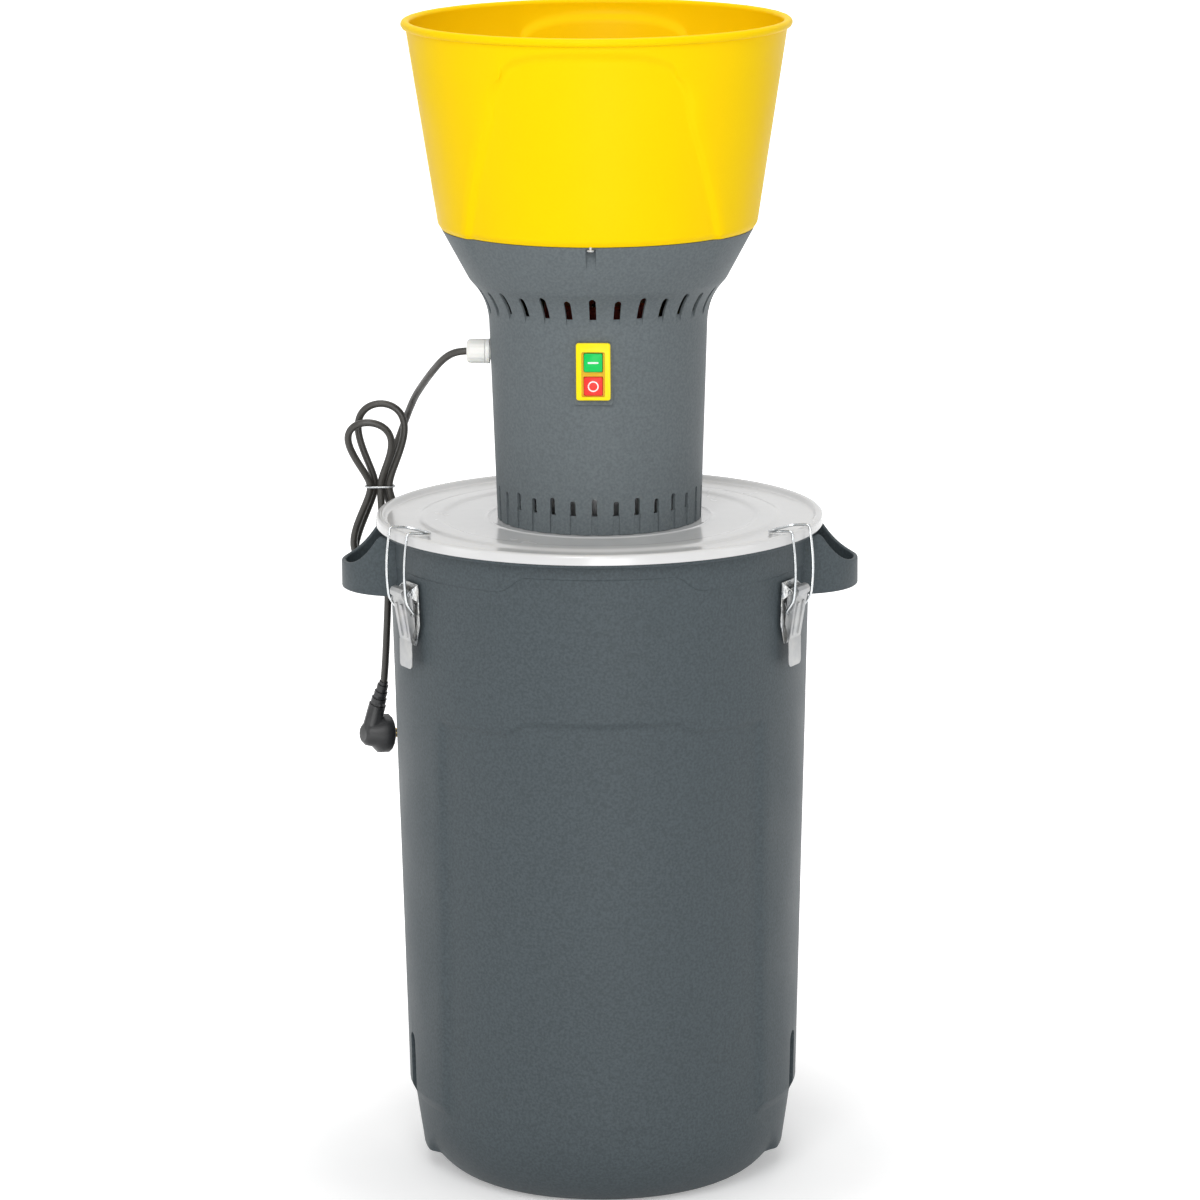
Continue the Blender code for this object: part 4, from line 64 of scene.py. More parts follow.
bl_info = {
    "name": "Grain crusher",
    "version": (1, 0, 0),
    "blender": (4, 5, 0),
    "location": "View3D > Sidebar > Grain crusher",
    "description": "Makes the finished pieces of an electric grain crusher round its frame",
    "category": "Object",
}

QUARTER = math.radians(90)
HALF_TURN = math.radians(180)
HAIR = 0.0003
WELD = 1e-6
FLAT = math.radians(0.5)
SECTOR_STEPS = 12


# Sizes and colours


def size(name, description, default):
    return bpy.props.FloatProperty(
        name=name, description=description, default=default, min=0, precision=4, unit="LENGTH"
    )


def angle(name, description, degrees):
    return bpy.props.FloatProperty(
        name=name, description=description, default=math.radians(degrees), unit="ROTATION"
    )


def colour(name, description, tint):
    return bpy.props.FloatVectorProperty(
        name=name, description=description, default=linear(tint), min=0, max=1, subtype="COLOR"
    )


def linear(tint):
    """Scene-linear colour of an sRGB hex value."""
    values = [int(tint[i : i + 2], 16) / 255 for i in (1, 3, 5)]
    return [v / 12.92 if v <= 0.04045 else ((v + 0.055) / 1.055) ** 2.4 for v in values]


class StageSettings(bpy.types.PropertyGroup):
    distance: size("Camera distance", "From the object's middle to the camera, level", 5.0)
    height: size("Camera height", "Above the floor", 1.617)
    pitch: angle("Camera pitch", "How far the camera looks down", 12.079)
    roll: angle("Camera roll", "How far the camera leans", -0.35)
    lens: bpy.props.FloatProperty(
        name="Lens", description="Focal length on a 36 mm sensor", default=162.6, unit="CAMERA"
    )
    fill: bpy.props.FloatProperty(
        name="Fill light", description="Strength of the light from all round", default=0.42, min=0
    )
    key: bpy.props.FloatProperty(
        name="Key lamps", description="Strength of the soft boxes in front", default=1.0, min=0
    )


class BinSizes(bpy.types.PropertyGroup):
    height: size("Height", "Up to the rim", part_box("bin")[1].z)
    base_radius: size("Base radius", "Of the flat under the bin", 0.135)
    shoulder_radius: size("Shoulder radius", "Where the rounded base meets the belt", 0.1795)
    belt_radius: size("Belt radius", "Of the wall just above the belt", 0.1848)
    neck_radius: size("Neck radius", "Of the wall just below the collar", 0.1972)
    rim_radius: size("Rim radius", "Of the flange that the lid lies on", 0.208)
    wall: size("Wall", "Thickness of the moulded wall", 0.003)
    panel_depth: size("Panel depth", "How far the front and back panels are set in", 0.004)
    panel_half_width: size("Panel half width", "From the middle to the panel's edge", 0.148)
    panel_height: size("Panel height", "Height of the panels' top edge", 0.461)
    handle_radius: size("Handle radius", "Of the round grips on both sides", 0.056)


class LidSizes(bpy.types.PropertyGroup):
    height: size("Height", "Of the lid's flat top", 0.628)
    radius: size("Radius", "Of the rolled rim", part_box("lid")[1].x)
    sheet: size("Sheet", "Thickness of the pressed sheet", 0.0012)
    crest: size("Crest", "How far the rim stands above the flat", 0.005)


class HeadSizes(bpy.types.PropertyGroup):
    turn: angle("Turn", "Turn of the whole head about its axis", -2.7)
    foot_radius: size("Foot radius", "Of the housing on the lid", 0.0956)
    neck_radius: size("Neck radius", "Where the housing starts to flare", 0.102)
    kink_radius: size("Kink radius", "Where the flare gets straight", 0.1202)
    top_radius: size("Top radius", "Of the housing under the hopper", 0.1455)
    top_height: size("Top height", "Of the housing's upper edge", 0.9025)
    wall: size("Wall", "Thickness of the moulded wall", 0.0028)
    slots: bpy.props.IntProperty(
        name="Slots", description="Cooling slots in each row", default=30, min=4
    )


class HopperSizes(bpy.types.PropertyGroup):
    foot_radius: size("Foot radius", "Of the wall at its foot", 0.1487)
    lip_radius: size("Lip radius", "Of the middle of the rolled lip", 0.177)
    lip_height: size("Lip height", "Of the middle of the rolled lip", 1.0921)
    lip_round: size("Lip rounding", "Radius of the rolled lip", 0.004)
    wall: size("Wall", "Thickness of the moulded wall", 0.0028)
    arch_depth: size("Arch depth", "How far the arches are set in", 0.0043)


class CordSizes(bpy.types.PropertyGroup):
    radius: size("Radius", "Of the mains lead", 0.0035)
    pitch: size("Pitch", "Between the strands of the hank", 0.0077)


class Colours(bpy.types.PropertyGroup):
    bin_plastic: colour("Bin", "Moulded bin", "#485054")
    housing_plastic: colour("Housing", "Moulded motor housing", "#646B6E")
    hopper_plastic: colour("Hopper", "Moulded hopper", "#FFD400")
    lid_sheet: colour("Lid", "Enamel on the lid", "#D6D6D6")
    cord_rubber: colour("Cord", "Sheath of the mains lead", "#35332F")
    switch_yellow: colour("Switch plate", "Moulded switch plate", "#FFE400")
    # The switch well's colour is painted shade: a deeper amber for the sunk part of the plate.
    switch_amber: colour("Switch well", "Sunk part of the switch plate", "#DDAE00")
    start_green: colour("Start button", "Moulded button", "#00C858")
    stop_red: colour("Stop button", "Moulded button", "#F83830")


# Small tools


def mix(low, high, share):
    return low + (high - low) * share


def part_of(value, low, high):
    """How far a value lies from low to high, kept between 0 and 1."""
    return min(max((value - low) / (high - low), 0), 1)


def eased(value, low, high):
    share = part_of(value, low, high)
    return share * share * (3 - 2 * share)


def polar(radius, turn, height):
    return Vector((radius * math.sin(turn), -radius * math.cos(turn), height))


def from_front(turn):
    """The turn from the nearer of the front and the back."""
    turn = abs(math.remainder(turn, math.tau))
    return min(turn, HALF_TURN - turn)


def rounded(corners, steps=4):
    """A path through (radius, height, reach) corners, each one rounded over its reach."""
    spots = [Vector(corner[:2]) for corner in corners]
    path = [spots[0]]
    for before, here, after, corner in zip(spots, spots[1:], spots[2:], corners[1:]):
        if not corner[2]:
            path.append(here)
            continue
        back = (before - here).length * 0.48
        ahead = (after - here).length * 0.48
        start = here + (before - here).normalized() * min(corner[2], back)
        end = here + (after - here).normalized() * min(corner[2], ahead)
        for i in range(steps + 1):
            share = i / steps
            path.append(start.lerp(here, share).lerp(here.lerp(end, share), share))
    path.append(spots[-1])
    return path


def skin(columns):
    """A closed skin round Z: a grid whose columns are bent to the given lists of points."""
    count, rows = len(columns), len(columns[0]) - 1
    bm = bmesh.new()
    bmesh.ops.create_grid(bm, x_segments=count, y_segments=rows, size=1)
    for vert in bm.verts:
        i = round((vert.co.x + 1) / 2 * count) % count
        j = round((vert.co.y + 1) / 2 * rows)
        vert.co = columns[i][j]
    bmesh.ops.remove_doubles(bm, verts=bm.verts, dist=WELD)
    bmesh.ops.recalc_face_normals(bm, faces=bm.faces)
    return bm


def spun(profile, segments):
    """A profile of (radius, height) spun round Z."""
    bm = bmesh.new()
    points = [bm.verts.new((spot[0], 0, spot[1])) for spot in profile]
    edges = [bm.edges.new(pair) for pair in zip(points, points[1:])]
    bmesh.ops.spin(
        bm,
        geom=points + edges,
        axis=(0, 0, 1),
        cent=(0, 0, 0),
        angle=math.tau,
        steps=segments,
        use_merge=True,
    )
    bmesh.ops.remove_doubles(bm, verts=bm.verts, dist=WELD)
    bmesh.ops.recalc_face_normals(bm, faces=bm.faces)
    return bm


def slab(outline, low, high):
    """A solid with an outline given as (x, z), between two places along Y."""
    bm = bmesh.new()
    face = bm.faces.new([bm.verts.new((x, low, z)) for x, z in outline])
    swept = bmesh.ops.extrude_face_region(bm, geom=[face])
    moved = [item for item in swept["geom"] if isinstance(item, bmesh.types.BMVert)]
    bmesh.ops.translate(bm, verts=moved, vec=(0, high - low, 0))
    bmesh.ops.recalc_face_normals(bm, faces=bm.faces)
    return bm


def arc(middle, radius, start, end, steps):
    angles = [mix(start, end, i / steps) for i in range(steps + 1)]
    return [(middle[0] + radius * math.cos(a), middle[1] + radius * math.sin(a)) for a in angles]


def rounded_box(half_width, half_height, corner, middle=0.0):
    """Outline of a rectangle with round corners, as (x, z)."""
    points = []
    for number, (sx, sz) in enumerate(((1, 1), (-1, 1), (-1, -1), (1, -1))):
        place = (sx * (half_width - corner), middle + sz * (half_height - corner))
        points += arc(place, corner, number * QUARTER, (number + 1) * QUARTER, 4)
    return points


def turned_by(bm, turn, axis="Z"):
    bmesh.ops.rotate(bm, verts=bm.verts, cent=(0, 0, 0), matrix=Matrix.Rotation(turn, 3, axis))
    return bm


def laid(bm, turn, axis, height):
    """A shape about Z, laid flat and lifted."""
    turned_by(bm, turn, axis)
    bmesh.ops.translate(bm, verts=bm.verts, vec=(0, 0, height))
    return bm


def sector(near, far, half_turn, low, high):
    """Cutter of a window between two radii, behind the axis."""
    outline = arc((0, 0), near, QUARTER + half_turn, QUARTER - half_turn, SECTOR_STEPS)
    outline += arc((0, 0), far, QUARTER - half_turn, QUARTER + half_turn, SECTOR_STEPS)
    return turned_by(slab(outline, -high, -low), -QUARTER, "X")


def together(shapes):
    """One bmesh that holds several."""
    whole = bmesh.new()
    for shape in shapes:
        mesh = bpy.data.meshes.new("shape")
        shape.to_mesh(mesh)
        shape.free()
        whole.from_mesh(mesh)
        bpy.data.meshes.remove(mesh)
    return whole


def ring_of(make, count, start=0.0):
    """Shapes spread evenly round Z, each made from its number."""
    return together([turned_by(make(i), start + math.tau * i / count) for i in range(count)])


def soften(bm, width, angle_limit=math.radians(40), segments=2):
    """Rounds the sharp edges."""
    edges = [e for e in bm.edges if e.is_manifold and e.calc_face_angle(0) > angle_limit]
    bmesh.ops.bevel(
        bm,
        geom=edges,
        offset=width,
        offset_type="OFFSET",
        affect="EDGES",
        segments=segments,
        profile=0.5,
        material=-1,
        clamp_overlap=True,
    )
    return bm


def new_object(name, bm):
    """An object that takes over a bmesh."""
    mesh = bpy.data.meshes.new(name)
    bm.to_mesh(mesh)
    bm.free()
    obj = bpy.data.objects.new(name, mesh)
    bpy.context.collection.objects.link(obj)
    return obj


def piece(name, bm, slot, body, *nodes, sharp=40, finish=None):
    """A finished piece from its bmesh: it takes its finish from a material slot, rides on a body
    and stands for the named nodes. Edges sharper than so many degrees stay sharp."""
    obj = new_object(name, bm)
    obj.data.shade_smooth()
    obj.data.set_sharp_from_angle(angle=math.radians(sharp))
    return settle(obj, slot, body, *nodes, finish=finish)


def settle(obj, slot, body, *nodes, finish=None):
    obj.data.materials.append((finish or FINISHES[slot])())
    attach(obj, body)
    if nodes:
        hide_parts(*nodes)
    return obj


def carve(bm, tools, operation="DIFFERENCE"):
    """The bmesh with another one cut away from it or joined to it."""
    body, tool = new_object("shape", bm), new_object("shape", tools)
    step = body.modifiers.new("carve", "BOOLEAN")
    step.operation = operation
    step.solver = "EXACT"
    step.object = tool
    graph = bpy.context.evaluated_depsgraph_get()
    result = bmesh.new()
    result.from_object(body, graph)
    for obj in (body, tool):
        mesh = obj.data
        bpy.data.objects.remove(obj)
        bpy.data.meshes.remove(mesh)
    if not result.faces:
        raise RuntimeError("a cut left nothing")
    return result


def node_copy(name):
    """A merged copy of a node's mesh, its flat faces made whole again."""
    bm = bmesh.new()
    bm.from_mesh(frame["nodes"][name].data)
    bmesh.ops.remove_doubles(bm, verts=bm.verts, dist=WELD)
    bmesh.ops.dissolve_limit(bm, angle_limit=FLAT, verts=bm.verts, edges=bm.edges)
    return bm


def body_of(node):
    return frame["nodes"][node]["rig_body"]


def slot_of(node):
    parts = frame["record"]["subparts"]
    return next(part["material_slot"] for part in parts if part["node"] == node)


def fine_copy(node, edge=0.0, limit=40, finish=None):
    """A node's own shape as a finished piece, smooth and with its edges softened."""
    bm = node_copy(node)
    if edge:
        soften(bm, edge, math.radians(limit))
    return piece(f"fine_{node}", bm, slot_of(node), body_of(node), node, sharp=limit, finish=finish)


# Materials


MIX_FACTOR, MIX_A, MIX_B, MIX_COLOUR = 0, 6, 7, 2
LOW_FAC, HIGH_FAC = 0.3, 0.7  # a noise seldom leaves this span
METAL = 1.0
WAVES_PER_UNIT = 20  # a wave texture packs its bands this much closer than its scale says


def feed(tree, node, inputs):
    """Gives a node's sockets, by name or number, a value or a link."""
    for socket, value in inputs.items():
        if isinstance(value, bpy.types.NodeSocket):
            tree.links.new(value, node.inputs[socket])
        else:
            node.inputs[socket].default_value = value


def add_node(tree, kind, inputs=None, **settings):
    """Adds a node with its settings, and feeds its sockets."""
    node = tree.nodes.new(kind)
    for name, value in settings.items():
        setattr(node, name, value)
    feed(tree, node, inputs or {})
    return node


def tone(tint, factor=1.0):
    """A tint, as hex or scene-linear values, made lighter or darker."""
    rgb = linear(tint) if isinstance(tint, str) else tint
    return (*[min(max(value * factor, 0), 1) for value in rgb], 1)


def tones(tint, wander):
    """The darker and the lighter tone round a tint."""
    return tone(tint, 1 - wander), tone(tint, 1 + wander)


class Finish:
    """A material in the making: its tree, its shader and the place on the piece."""

    def __init__(self, name, roughness, metallic=0.0, ior=1.5):
        self.stuff = bpy.data.materials.new(name)
        self.stuff.use_nodes = True
        self.tree = self.stuff.node_tree
        self.shader = self.tree.nodes["Principled BSDF"]
        self.set({"Roughness": roughness, "Metallic": metallic, "IOR": ior})
        self.place = add_node(self.tree, "ShaderNodeTexCoord").outputs["Object"]

    def set(self, inputs):
        feed(self.tree, self.shader, inputs)

    def pattern(
        self, millimetres, detail=2.0, stretch=None, kind="Noise", distortion=0.0, **settings
    ):
        """A pattern whose features are that many millimetres."""
        place = self.place
        if stretch:
            inputs = {"Vector": place, "Scale": stretch}
            place = add_node(self.tree, "ShaderNodeMapping", inputs).outputs["Vector"]
        inputs = {"Vector": place, "Scale": 1000 / millimetres}
        inputs.update({"Detail": detail, "Distortion": distortion})
        return add_node(self.tree, f"ShaderNodeTex{kind}", inputs, **settings).outputs["Fac"]

    def spread(self, factor, low=0.0, high=1.0, start=LOW_FAC, end=HIGH_FAC):
        """A value that goes from low to high while a pattern goes from start to end."""
        inputs = {"Value": factor, "From Min": start, "From Max": end}
        inputs.update({"To Min": low, "To Max": high})
        return add_node(self.tree, "ShaderNodeMapRange", inputs).outputs["Result"]

    def blend(self, factor, low, high):
        inputs = {MIX_FACTOR: factor, MIX_A: low, MIX_B: high}
        return add_node(self.tree, "ShaderNodeMix", inputs, data_type="RGBA").outputs[MIX_COLOUR]

    def mottle(self, factor, tints, roughness=None, start=LOW_FAC, end=HIGH_FAC):
        """Lets the colour and the roughness wander between two limits with a pattern."""
        self.set({"Base Color": self.blend(self.spread(factor, start=start, end=end), *tints)})
        if roughness:
            self.set({"Roughness": self.spread(factor, *roughness)})

    def emboss(self, height, depth, below=None):
        """Relief of a pattern, so many metres deep, laid over the relief below it."""
        inputs = {"Height": height, "Distance": depth, "Strength": 1.0}
        if below:
            inputs["Normal"] = below
        relief = add_node(self.tree, "ShaderNodeBump", inputs).outputs["Normal"]
        self.set({"Normal": relief})
        return relief


def moulded(name, rgb, roughness, speckle, grain_mm, grain_depth, wander=0.05, ior=1.49, gloss=0.5):
    """Moulded plastic: a fine grain from the spark-eroded mould, pigment flecks and slow clouds
    where the melt flowed."""
    finish = Finish(name, roughness, ior=ior)
    clouds = finish.pattern(90, 3)
    flecks = finish.pattern(2.4)
    slow = finish.blend(finish.spread(clouds), *tones(rgb, wander))
    fine = finish.blend(finish.spread(flecks, start=0.35, end=0.65), *tones(rgb, speckle))
    finish.set({
        "Specular IOR Level": gloss,
        "Base Color": finish.blend(0.5, slow, fine),
        "Roughness": finish.spread(clouds, roughness - 0.05, roughness + 0.05),
    })
    finish.emboss(finish.pattern(grain_mm), grain_depth)
    return finish.stuff


def colour_of(slot):
    return tuple(getattr(bpy.context.scene.crusher_colours, slot))


@cache
def bin_polypropylene():
    # Polypropylene from a grained mould: matt, with a fine grain that only shows as sparkle. The
    # grain is drawn 1.6 mm wide, about twice the real one, so that it shows.
    return moulded(
        "grained_polypropylene",
        colour_of("bin_plastic"),
        roughness=0.5,
        speckle=0.26,
        grain_mm=1.6,
        grain_depth=0.00014,
        gloss=0.2,
    )


@cache
def housing_polypropylene():
    # The same stuff as the bin's, a shade lighter.
    return moulded(
        "housing_polypropylene",
        colour_of("housing_plastic"),
        roughness=0.52,
        speckle=0.2,
        grain_mm=1.6,
        grain_depth=0.00012,
        gloss=0.12,
    )


@cache
def hopper_polypropylene():
    # Yellow polypropylene from a smoother mould: a satin skin with soft highlights.
    return moulded(
        "yellow_polypropylene",
        colour_of("hopper_plastic"),
        roughness=0.42,
        speckle=0.012,
        grain_mm=1.2,
        grain_depth=0.00003,
        wander=0.015,
        gloss=0.06,
    )


@cache
def enamelled_sheet():
    # Stove enamel on pressed sheet steel: glossy, with the faint orange peel of a sprayed coat.
    finish = Finish("stove_enamel", 0.22)
    rgb = colour_of("lid_sheet")
    finish.mottle(finish.pattern(60, 3), (tone(rgb, 0.97), tone(rgb, 1.02)), (0.18, 0.28))
    finish.set({"Coat Weight": 0.4, "Coat Roughness": 0.08})
    finish.emboss(finish.pattern(3, 1), 0.00004)
    return finish.stuff


@cache
def zinc_plate():
    # Bright zinc on pressed steel: cool and sparkling, dented by the press, with a faint bloom.
    finish = Finish("bright_zinc", 0.34, METAL)
    finish.mottle(finish.pattern(9, 3), (tone("#A6AAAE"), tone("#C9C8C4")), (0.26, 0.46))
    dents = finish.emboss(finish.pattern(4), 0.0012)
    finish.emboss(finish.pattern(0.8), 0.00003, below=dents)
    return finish.stuff


@cache
def satin_zinc():
    # Zinc dulled by handling: a soft grey shine with fine rolling marks.
    finish = Finish("satin_zinc", 0.46, METAL)
    finish.mottle(finish.pattern(12, 3), (tone("#9A9C9E"), tone("#B2B2B1")), (0.4, 0.54))
    finish.emboss(finish.pattern(0.6, stretch=(1, 1, 0.04)), 0.00002)
    return finish.stuff


@cache
def bright_wire():
    # Drawn wire with a bright zinc coat: glossy and a little streaked.
    finish = Finish("zinc_coated_wire", 0.2, METAL)
    finish.mottle(finish.pattern(7), (tone("#B4B8BB"), tone("#CBCDCD")), (0.15, 0.28))
    finish.emboss(finish.pattern(0.7), 0.00002)
    return finish.stuff


@cache
def steel_sheet():
    # Plain rolled steel: a soft grey shine with long rolling marks and cloudy oil stains.
    finish = Finish("rolled_steel", 0.36, METAL)
    finish.mottle(finish.pattern(25, 3), (tone("#A3A6A8"), tone("#BBBDBE")), (0.28, 0.44))
    finish.emboss(finish.pattern(0.8, stretch=(0.05, 1, 1)), 0.00002)
    return finish.stuff


@cache
def cast_aluminium():
    # Die-cast aluminium: pale and a little rough, with the skin of the mould.
    finish = Finish("die_cast_aluminium", 0.45, METAL)
    finish.mottle(finish.pattern(6, 4), (tone("#B4B6B8"), tone("#C8C9CA")), (0.38, 0.55))
    finish.emboss(finish.pattern(1.2), 0.00008)
    return finish.stuff


@cache
def enamelled_copper():
    # Enamelled copper wire, wound: red-brown strands 0.9 mm thick under clear varnish.
    finish = Finish("enamelled_copper", 0.3, METAL)
    strands = finish.pattern(
        0.9 * WAVES_PER_UNIT, 1.0, kind="Wave", distortion=1.5, bands_direction="Z"
    )
    tints = (tone("#8A4526"), tone("#C9794A"))
    finish.mottle(strands, tints, (0.26, 0.4), start=0.1, end=0.9)
    finish.set({"Coat Weight": 0.5})
    finish.emboss(strands, 0.0003)
    return finish.stuff


@cache
def stacked_sheets():
    # Electrical steel sheets stacked on each other. They are 0.5 mm thick and drawn 1 mm, so
    # that they show.
    finish = Finish("electrical_steel", 0.5, METAL)
    sheets = finish.pattern(
        1.0 * WAVES_PER_UNIT, 1.0, kind="Wave", distortion=0.2, bands_direction="Z"
    )
    finish.mottle(sheets, (tone("#55585B"), tone("#7E8184")), start=0.1, end=0.9)
    finish.set({"Roughness": finish.spread(finish.pattern(8), 0.42, 0.6)})
    finish.emboss(sheets, 0.0002)
    return finish.stuff


@cache
def machined_brass():
    # Turned brass: fine marks from the lathe, and a slight tarnish.
    finish = Finish("turned_brass", 0.3, METAL)
    finish.mottle(finish.pattern(5, 3), (tone("#B48E3C"), tone("#D8B660")), (0.24, 0.38))
    finish.emboss(finish.pattern(0.5), 0.00002)
    return finish.stuff


@cache
def seal_rubber():
    # Nitrile rubber strip: black, dull, with a dusty bloom.
    return moulded(
        "nitrile_rubber",
        linear("#2B2B2A"),
        roughness=0.75,
        speckle=0.1,
        grain_mm=0.8,
        grain_depth=0.00006,
        wander=0.15,
        ior=1.52,
    )


@cache
def cord_sheath():
    # Soft PVC sheath: dark brown-grey, satin, with slow ripples where the cores press through.
    finish = Finish("pvc_sheath", 0.42, ior=1.53)
    ripples = finish.pattern(14)
    finish.mottle(ripples, tones(colour_of("cord_rubber"), 0.15), (0.36, 0.5))
    below = finish.emboss(ripples, 0.0003)
    finish.emboss(finish.pattern(0.9), 0.00002, below=below)
    return finish.stuff


@cache
def white_nylon():
    # White polyamide: slightly translucent and warm at the edges, with a smooth moulded skin.
    stuff = moulded(
        "white_polyamide",
        linear("#F0F0EC"),
        roughness=0.38,
        speckle=0.015,
        grain_mm=1.0,
        grain_depth=0.00003,
        wander=0.02,
        ior=1.53,
    )
    inputs = {
        "Subsurface Weight": 0.15,
        "Subsurface Radius": (0.004, 0.003, 0.002),
        "Subsurface Scale": 1.0,
    }
    feed(stuff.node_tree, stuff.node_tree.nodes["Principled BSDF"], inputs)
    return stuff


@cache
def black_abs():
    # Black ABS from a lightly grained mould, as on plugs and switch bodies.
    return moulded(
        "black_abs",
        linear("#1F2022"),
        roughness=0.42,
        speckle=0.12,
        grain_mm=0.9,
        grain_depth=0.00006,
        wander=0.1,
        ior=1.54,
    )


@cache
def switch_abs(slot, speckle, wander):
    # Glossy, evenly coloured ABS, as on the plate and the buttons of a switch. The plate's sunk
    # part takes it a tone deeper, as painted shade in the well round the buttons.
    return moulded(
        f"{slot.split('_')[1]}_abs",
        colour_of(slot),
        roughness=0.3,
        speckle=speckle,
        grain_mm=1.0,
        grain_depth=0.00002,
        wander=wander,
        ior=1.54,
        gloss=0.2,
    )


@cache
def red_primer():
    # Dark red primer brushed on cast metal: dull, uneven, with brush lines.
    finish = Finish("red_primer", 0.55)
    finish.mottle(finish.pattern(12, 4), (tone("#611610"), tone("#8A2519")), (0.45, 0.65))
    finish.emboss(finish.pattern(1.5, 3), 0.0001)
    return finish.stuff


PLATE_WANDER = (0.012, 0.015)
BUTTON_WANDER = (0.02, 0.02)
FINISHES = {
    "bin_plastic": bin_polypropylene,
    "housing_plastic": housing_polypropylene,
    "hopper_plastic": hopper_polypropylene,
    "lid_sheet": enamelled_sheet,
    "zinc": zinc_plate,
    "steel": steel_sheet,
    "aluminium": cast_aluminium,
    "copper": enamelled_copper,
    "brass": machined_brass,
    "rubber": seal_rubber,
    "cord_rubber": cord_sheath,
    "white_plastic": white_nylon,
    "black_plastic": black_abs,
    "switch_yellow": partial(switch_abs, "switch_yellow", *PLATE_WANDER),
    "start_green": partial(switch_abs, "start_green", *BUTTON_WANDER),
    "stop_red": partial(switch_abs, "stop_red", *BUTTON_WANDER),
    "motor_red": red_primer,
    "lamination": stacked_sheets,
}


# Stage


LAMPS = {
    # The place, what it shines at, the width and the watts of each soft box.
    "front_box": ((-0.4, -2.9, 2.9), (0, 0, 0.8), 1.5, 56),
    "low_box": ((0.3, -3.2, 0.3), (0, 0, 0.1), 1.2, 30),
    "left_box": ((-3.0, -0.9, 1.2), (0, 0, 0.55), 1.3, 11),
    "right_box": ((3.0, -0.9, 1.2), (0, 0, 0.55), 1.3, 8),
    "top_box": ((0.1, 0.5, 3.2), (0, 0, 0.55), 1.5, 24),
}


def seen_directly(tree):
    """1 where a camera, glossy or transmission ray looks, 0 for the light that falls on things."""
    path = add_node(tree, "ShaderNodeLightPath")
    seen = path.outputs["Is Camera Ray"]
    for ray in ("Is Glossy Ray", "Is Transmission Ray"):
        inputs = {0: seen, 1: path.outputs[ray]}
        seen = add_node(tree, "ShaderNodeMath", inputs, operation="MAXIMUM").outputs[0]
    return seen


def light_world(fill):
    world = bpy.data.worlds.new("studio")
    bpy.context.scene.world = world
    world.use_nodes = True
    tree = world.node_tree
    spread = {"Value": seen_directly(tree), "To Min": fill, "To Max": 1.0}
    strength = add_node(tree, "ShaderNodeMapRange", spread).outputs["Result"]
    feed(tree, tree.nodes["Background"], {"Color": (1, 1, 1, 1), "Strength": strength})


def studio_floor():
    """A pale floor that keeps the object's shadow and is white to the camera elsewhere."""
    bm = bmesh.new()
    bmesh.ops.create_grid(bm, x_segments=1, y_segments=1, size=20)
    bmesh.ops.translate(bm, verts=bm.verts, vec=(0, 0, -HAIR))
    floor = new_object("floor", bm)
    paper = Finish("studio_paper", 0.9)
    paper.mottle(paper.pattern(40, 3), (tone("#ECECEC"), tone("#EEEEEE")))
    inputs = {0: paper.place}
    away = add_node(paper.tree, "ShaderNodeVectorMath", inputs, operation="LENGTH").outputs["Value"]
    inputs = {0: paper.spread(away, 0.3, 1.0, start=0.25, end=0.9), 1: seen_directly(paper.tree)}
    glow = add_node(paper.tree, "ShaderNodeMath", inputs, operation="MULTIPLY").outputs[0]
    paper.set({"Emission Color": (1, 1, 1, 1), "Emission Strength": glow})
    floor.data.materials.append(paper.stuff)


def soft_box(name, place, target, width, power):
    lamp = bpy.data.lights.new(name, "AREA")
    lamp.shape = "RECTANGLE"
    lamp.size = width
    lamp.size_y = width * 1.4
    lamp.energy = power
    obj = bpy.data.objects.new(name, lamp)
    bpy.context.collection.objects.link(obj)
    obj.location = place
    away = Vector(target) - Vector(place)
    obj.rotation_euler = away.to_track_quat("-Z", "Y").to_euler()


class CRUSHER_OT_stage(bpy.types.Operator):
    """Makes the camera, the floor and the lamps"""

    bl_idname = "crusher.stage"
    bl_label = "Stage"

    def execute(self, context):
        settings = context.scene.crusher_stage
        camera = bpy.data.objects.new("camera", bpy.data.cameras.new("camera"))
        context.collection.objects.link(camera)
        camera.data.lens = settings.lens
        camera.data.sensor_width = 36
        camera.data.clip_start = 0.1
        camera.location = (0, -settings.distance, settings.height)
        look = Matrix.Rotation(QUARTER - settings.pitch, 4, "X")
        look @= Matrix.Rotation(settings.roll, 4, "Z")
        camera.rotation_euler = look.to_euler()
        context.scene.camera = camera
        context.scene.view_settings.view_transform = "Standard"
        light_world(settings.fill)
        studio_floor()
        for name, (place, target, width, watts) in LAMPS.items():
            soft_box(name, place, target, width, watts * settings.key)
        return {"FINISHED"}



# Cord


CORD_EXIT = (-0.1231, 0.0058, 0.7847)
LEAD_ROUTE = (
    (-0.1301, 0.0061, 0.7846),
    (-0.1380, 0.0092, 0.7818),
    (-0.1463, 0.0170, 0.7745),
    (-0.1545, 0.0330, 0.7632),
    (-0.1640, 0.0590, 0.7475),
    (-0.1755, 0.0940, 0.7256),
    (-0.1845, 0.1180, 0.7022),
    (-0.1912, 0.1235, 0.6835),
    (-0.1998, 0.1175, 0.6610),
)
TAIL_ROUTE = (
    (-0.2085, 0.0950, 0.6150),
    (-0.2070, 0.0900, 0.5900),
    (-0.2035, 0.0885, 0.5600),
    (-0.2035, 0.0900, 0.5329),
    (-0.2050, 0.0930, 0.5040),
    (-0.2065, 0.0985, 0.4783),
    (-0.2080, 0.1040, 0.4589),
)
PLUG_TOP = (-0.2093, 0.1075, 0.4450)
HANK_PLACE = (-0.21, 0.1, 0.6385)
LOBE_HEIGHTS = (-0.094, 0.081, -0.078, 0.065)
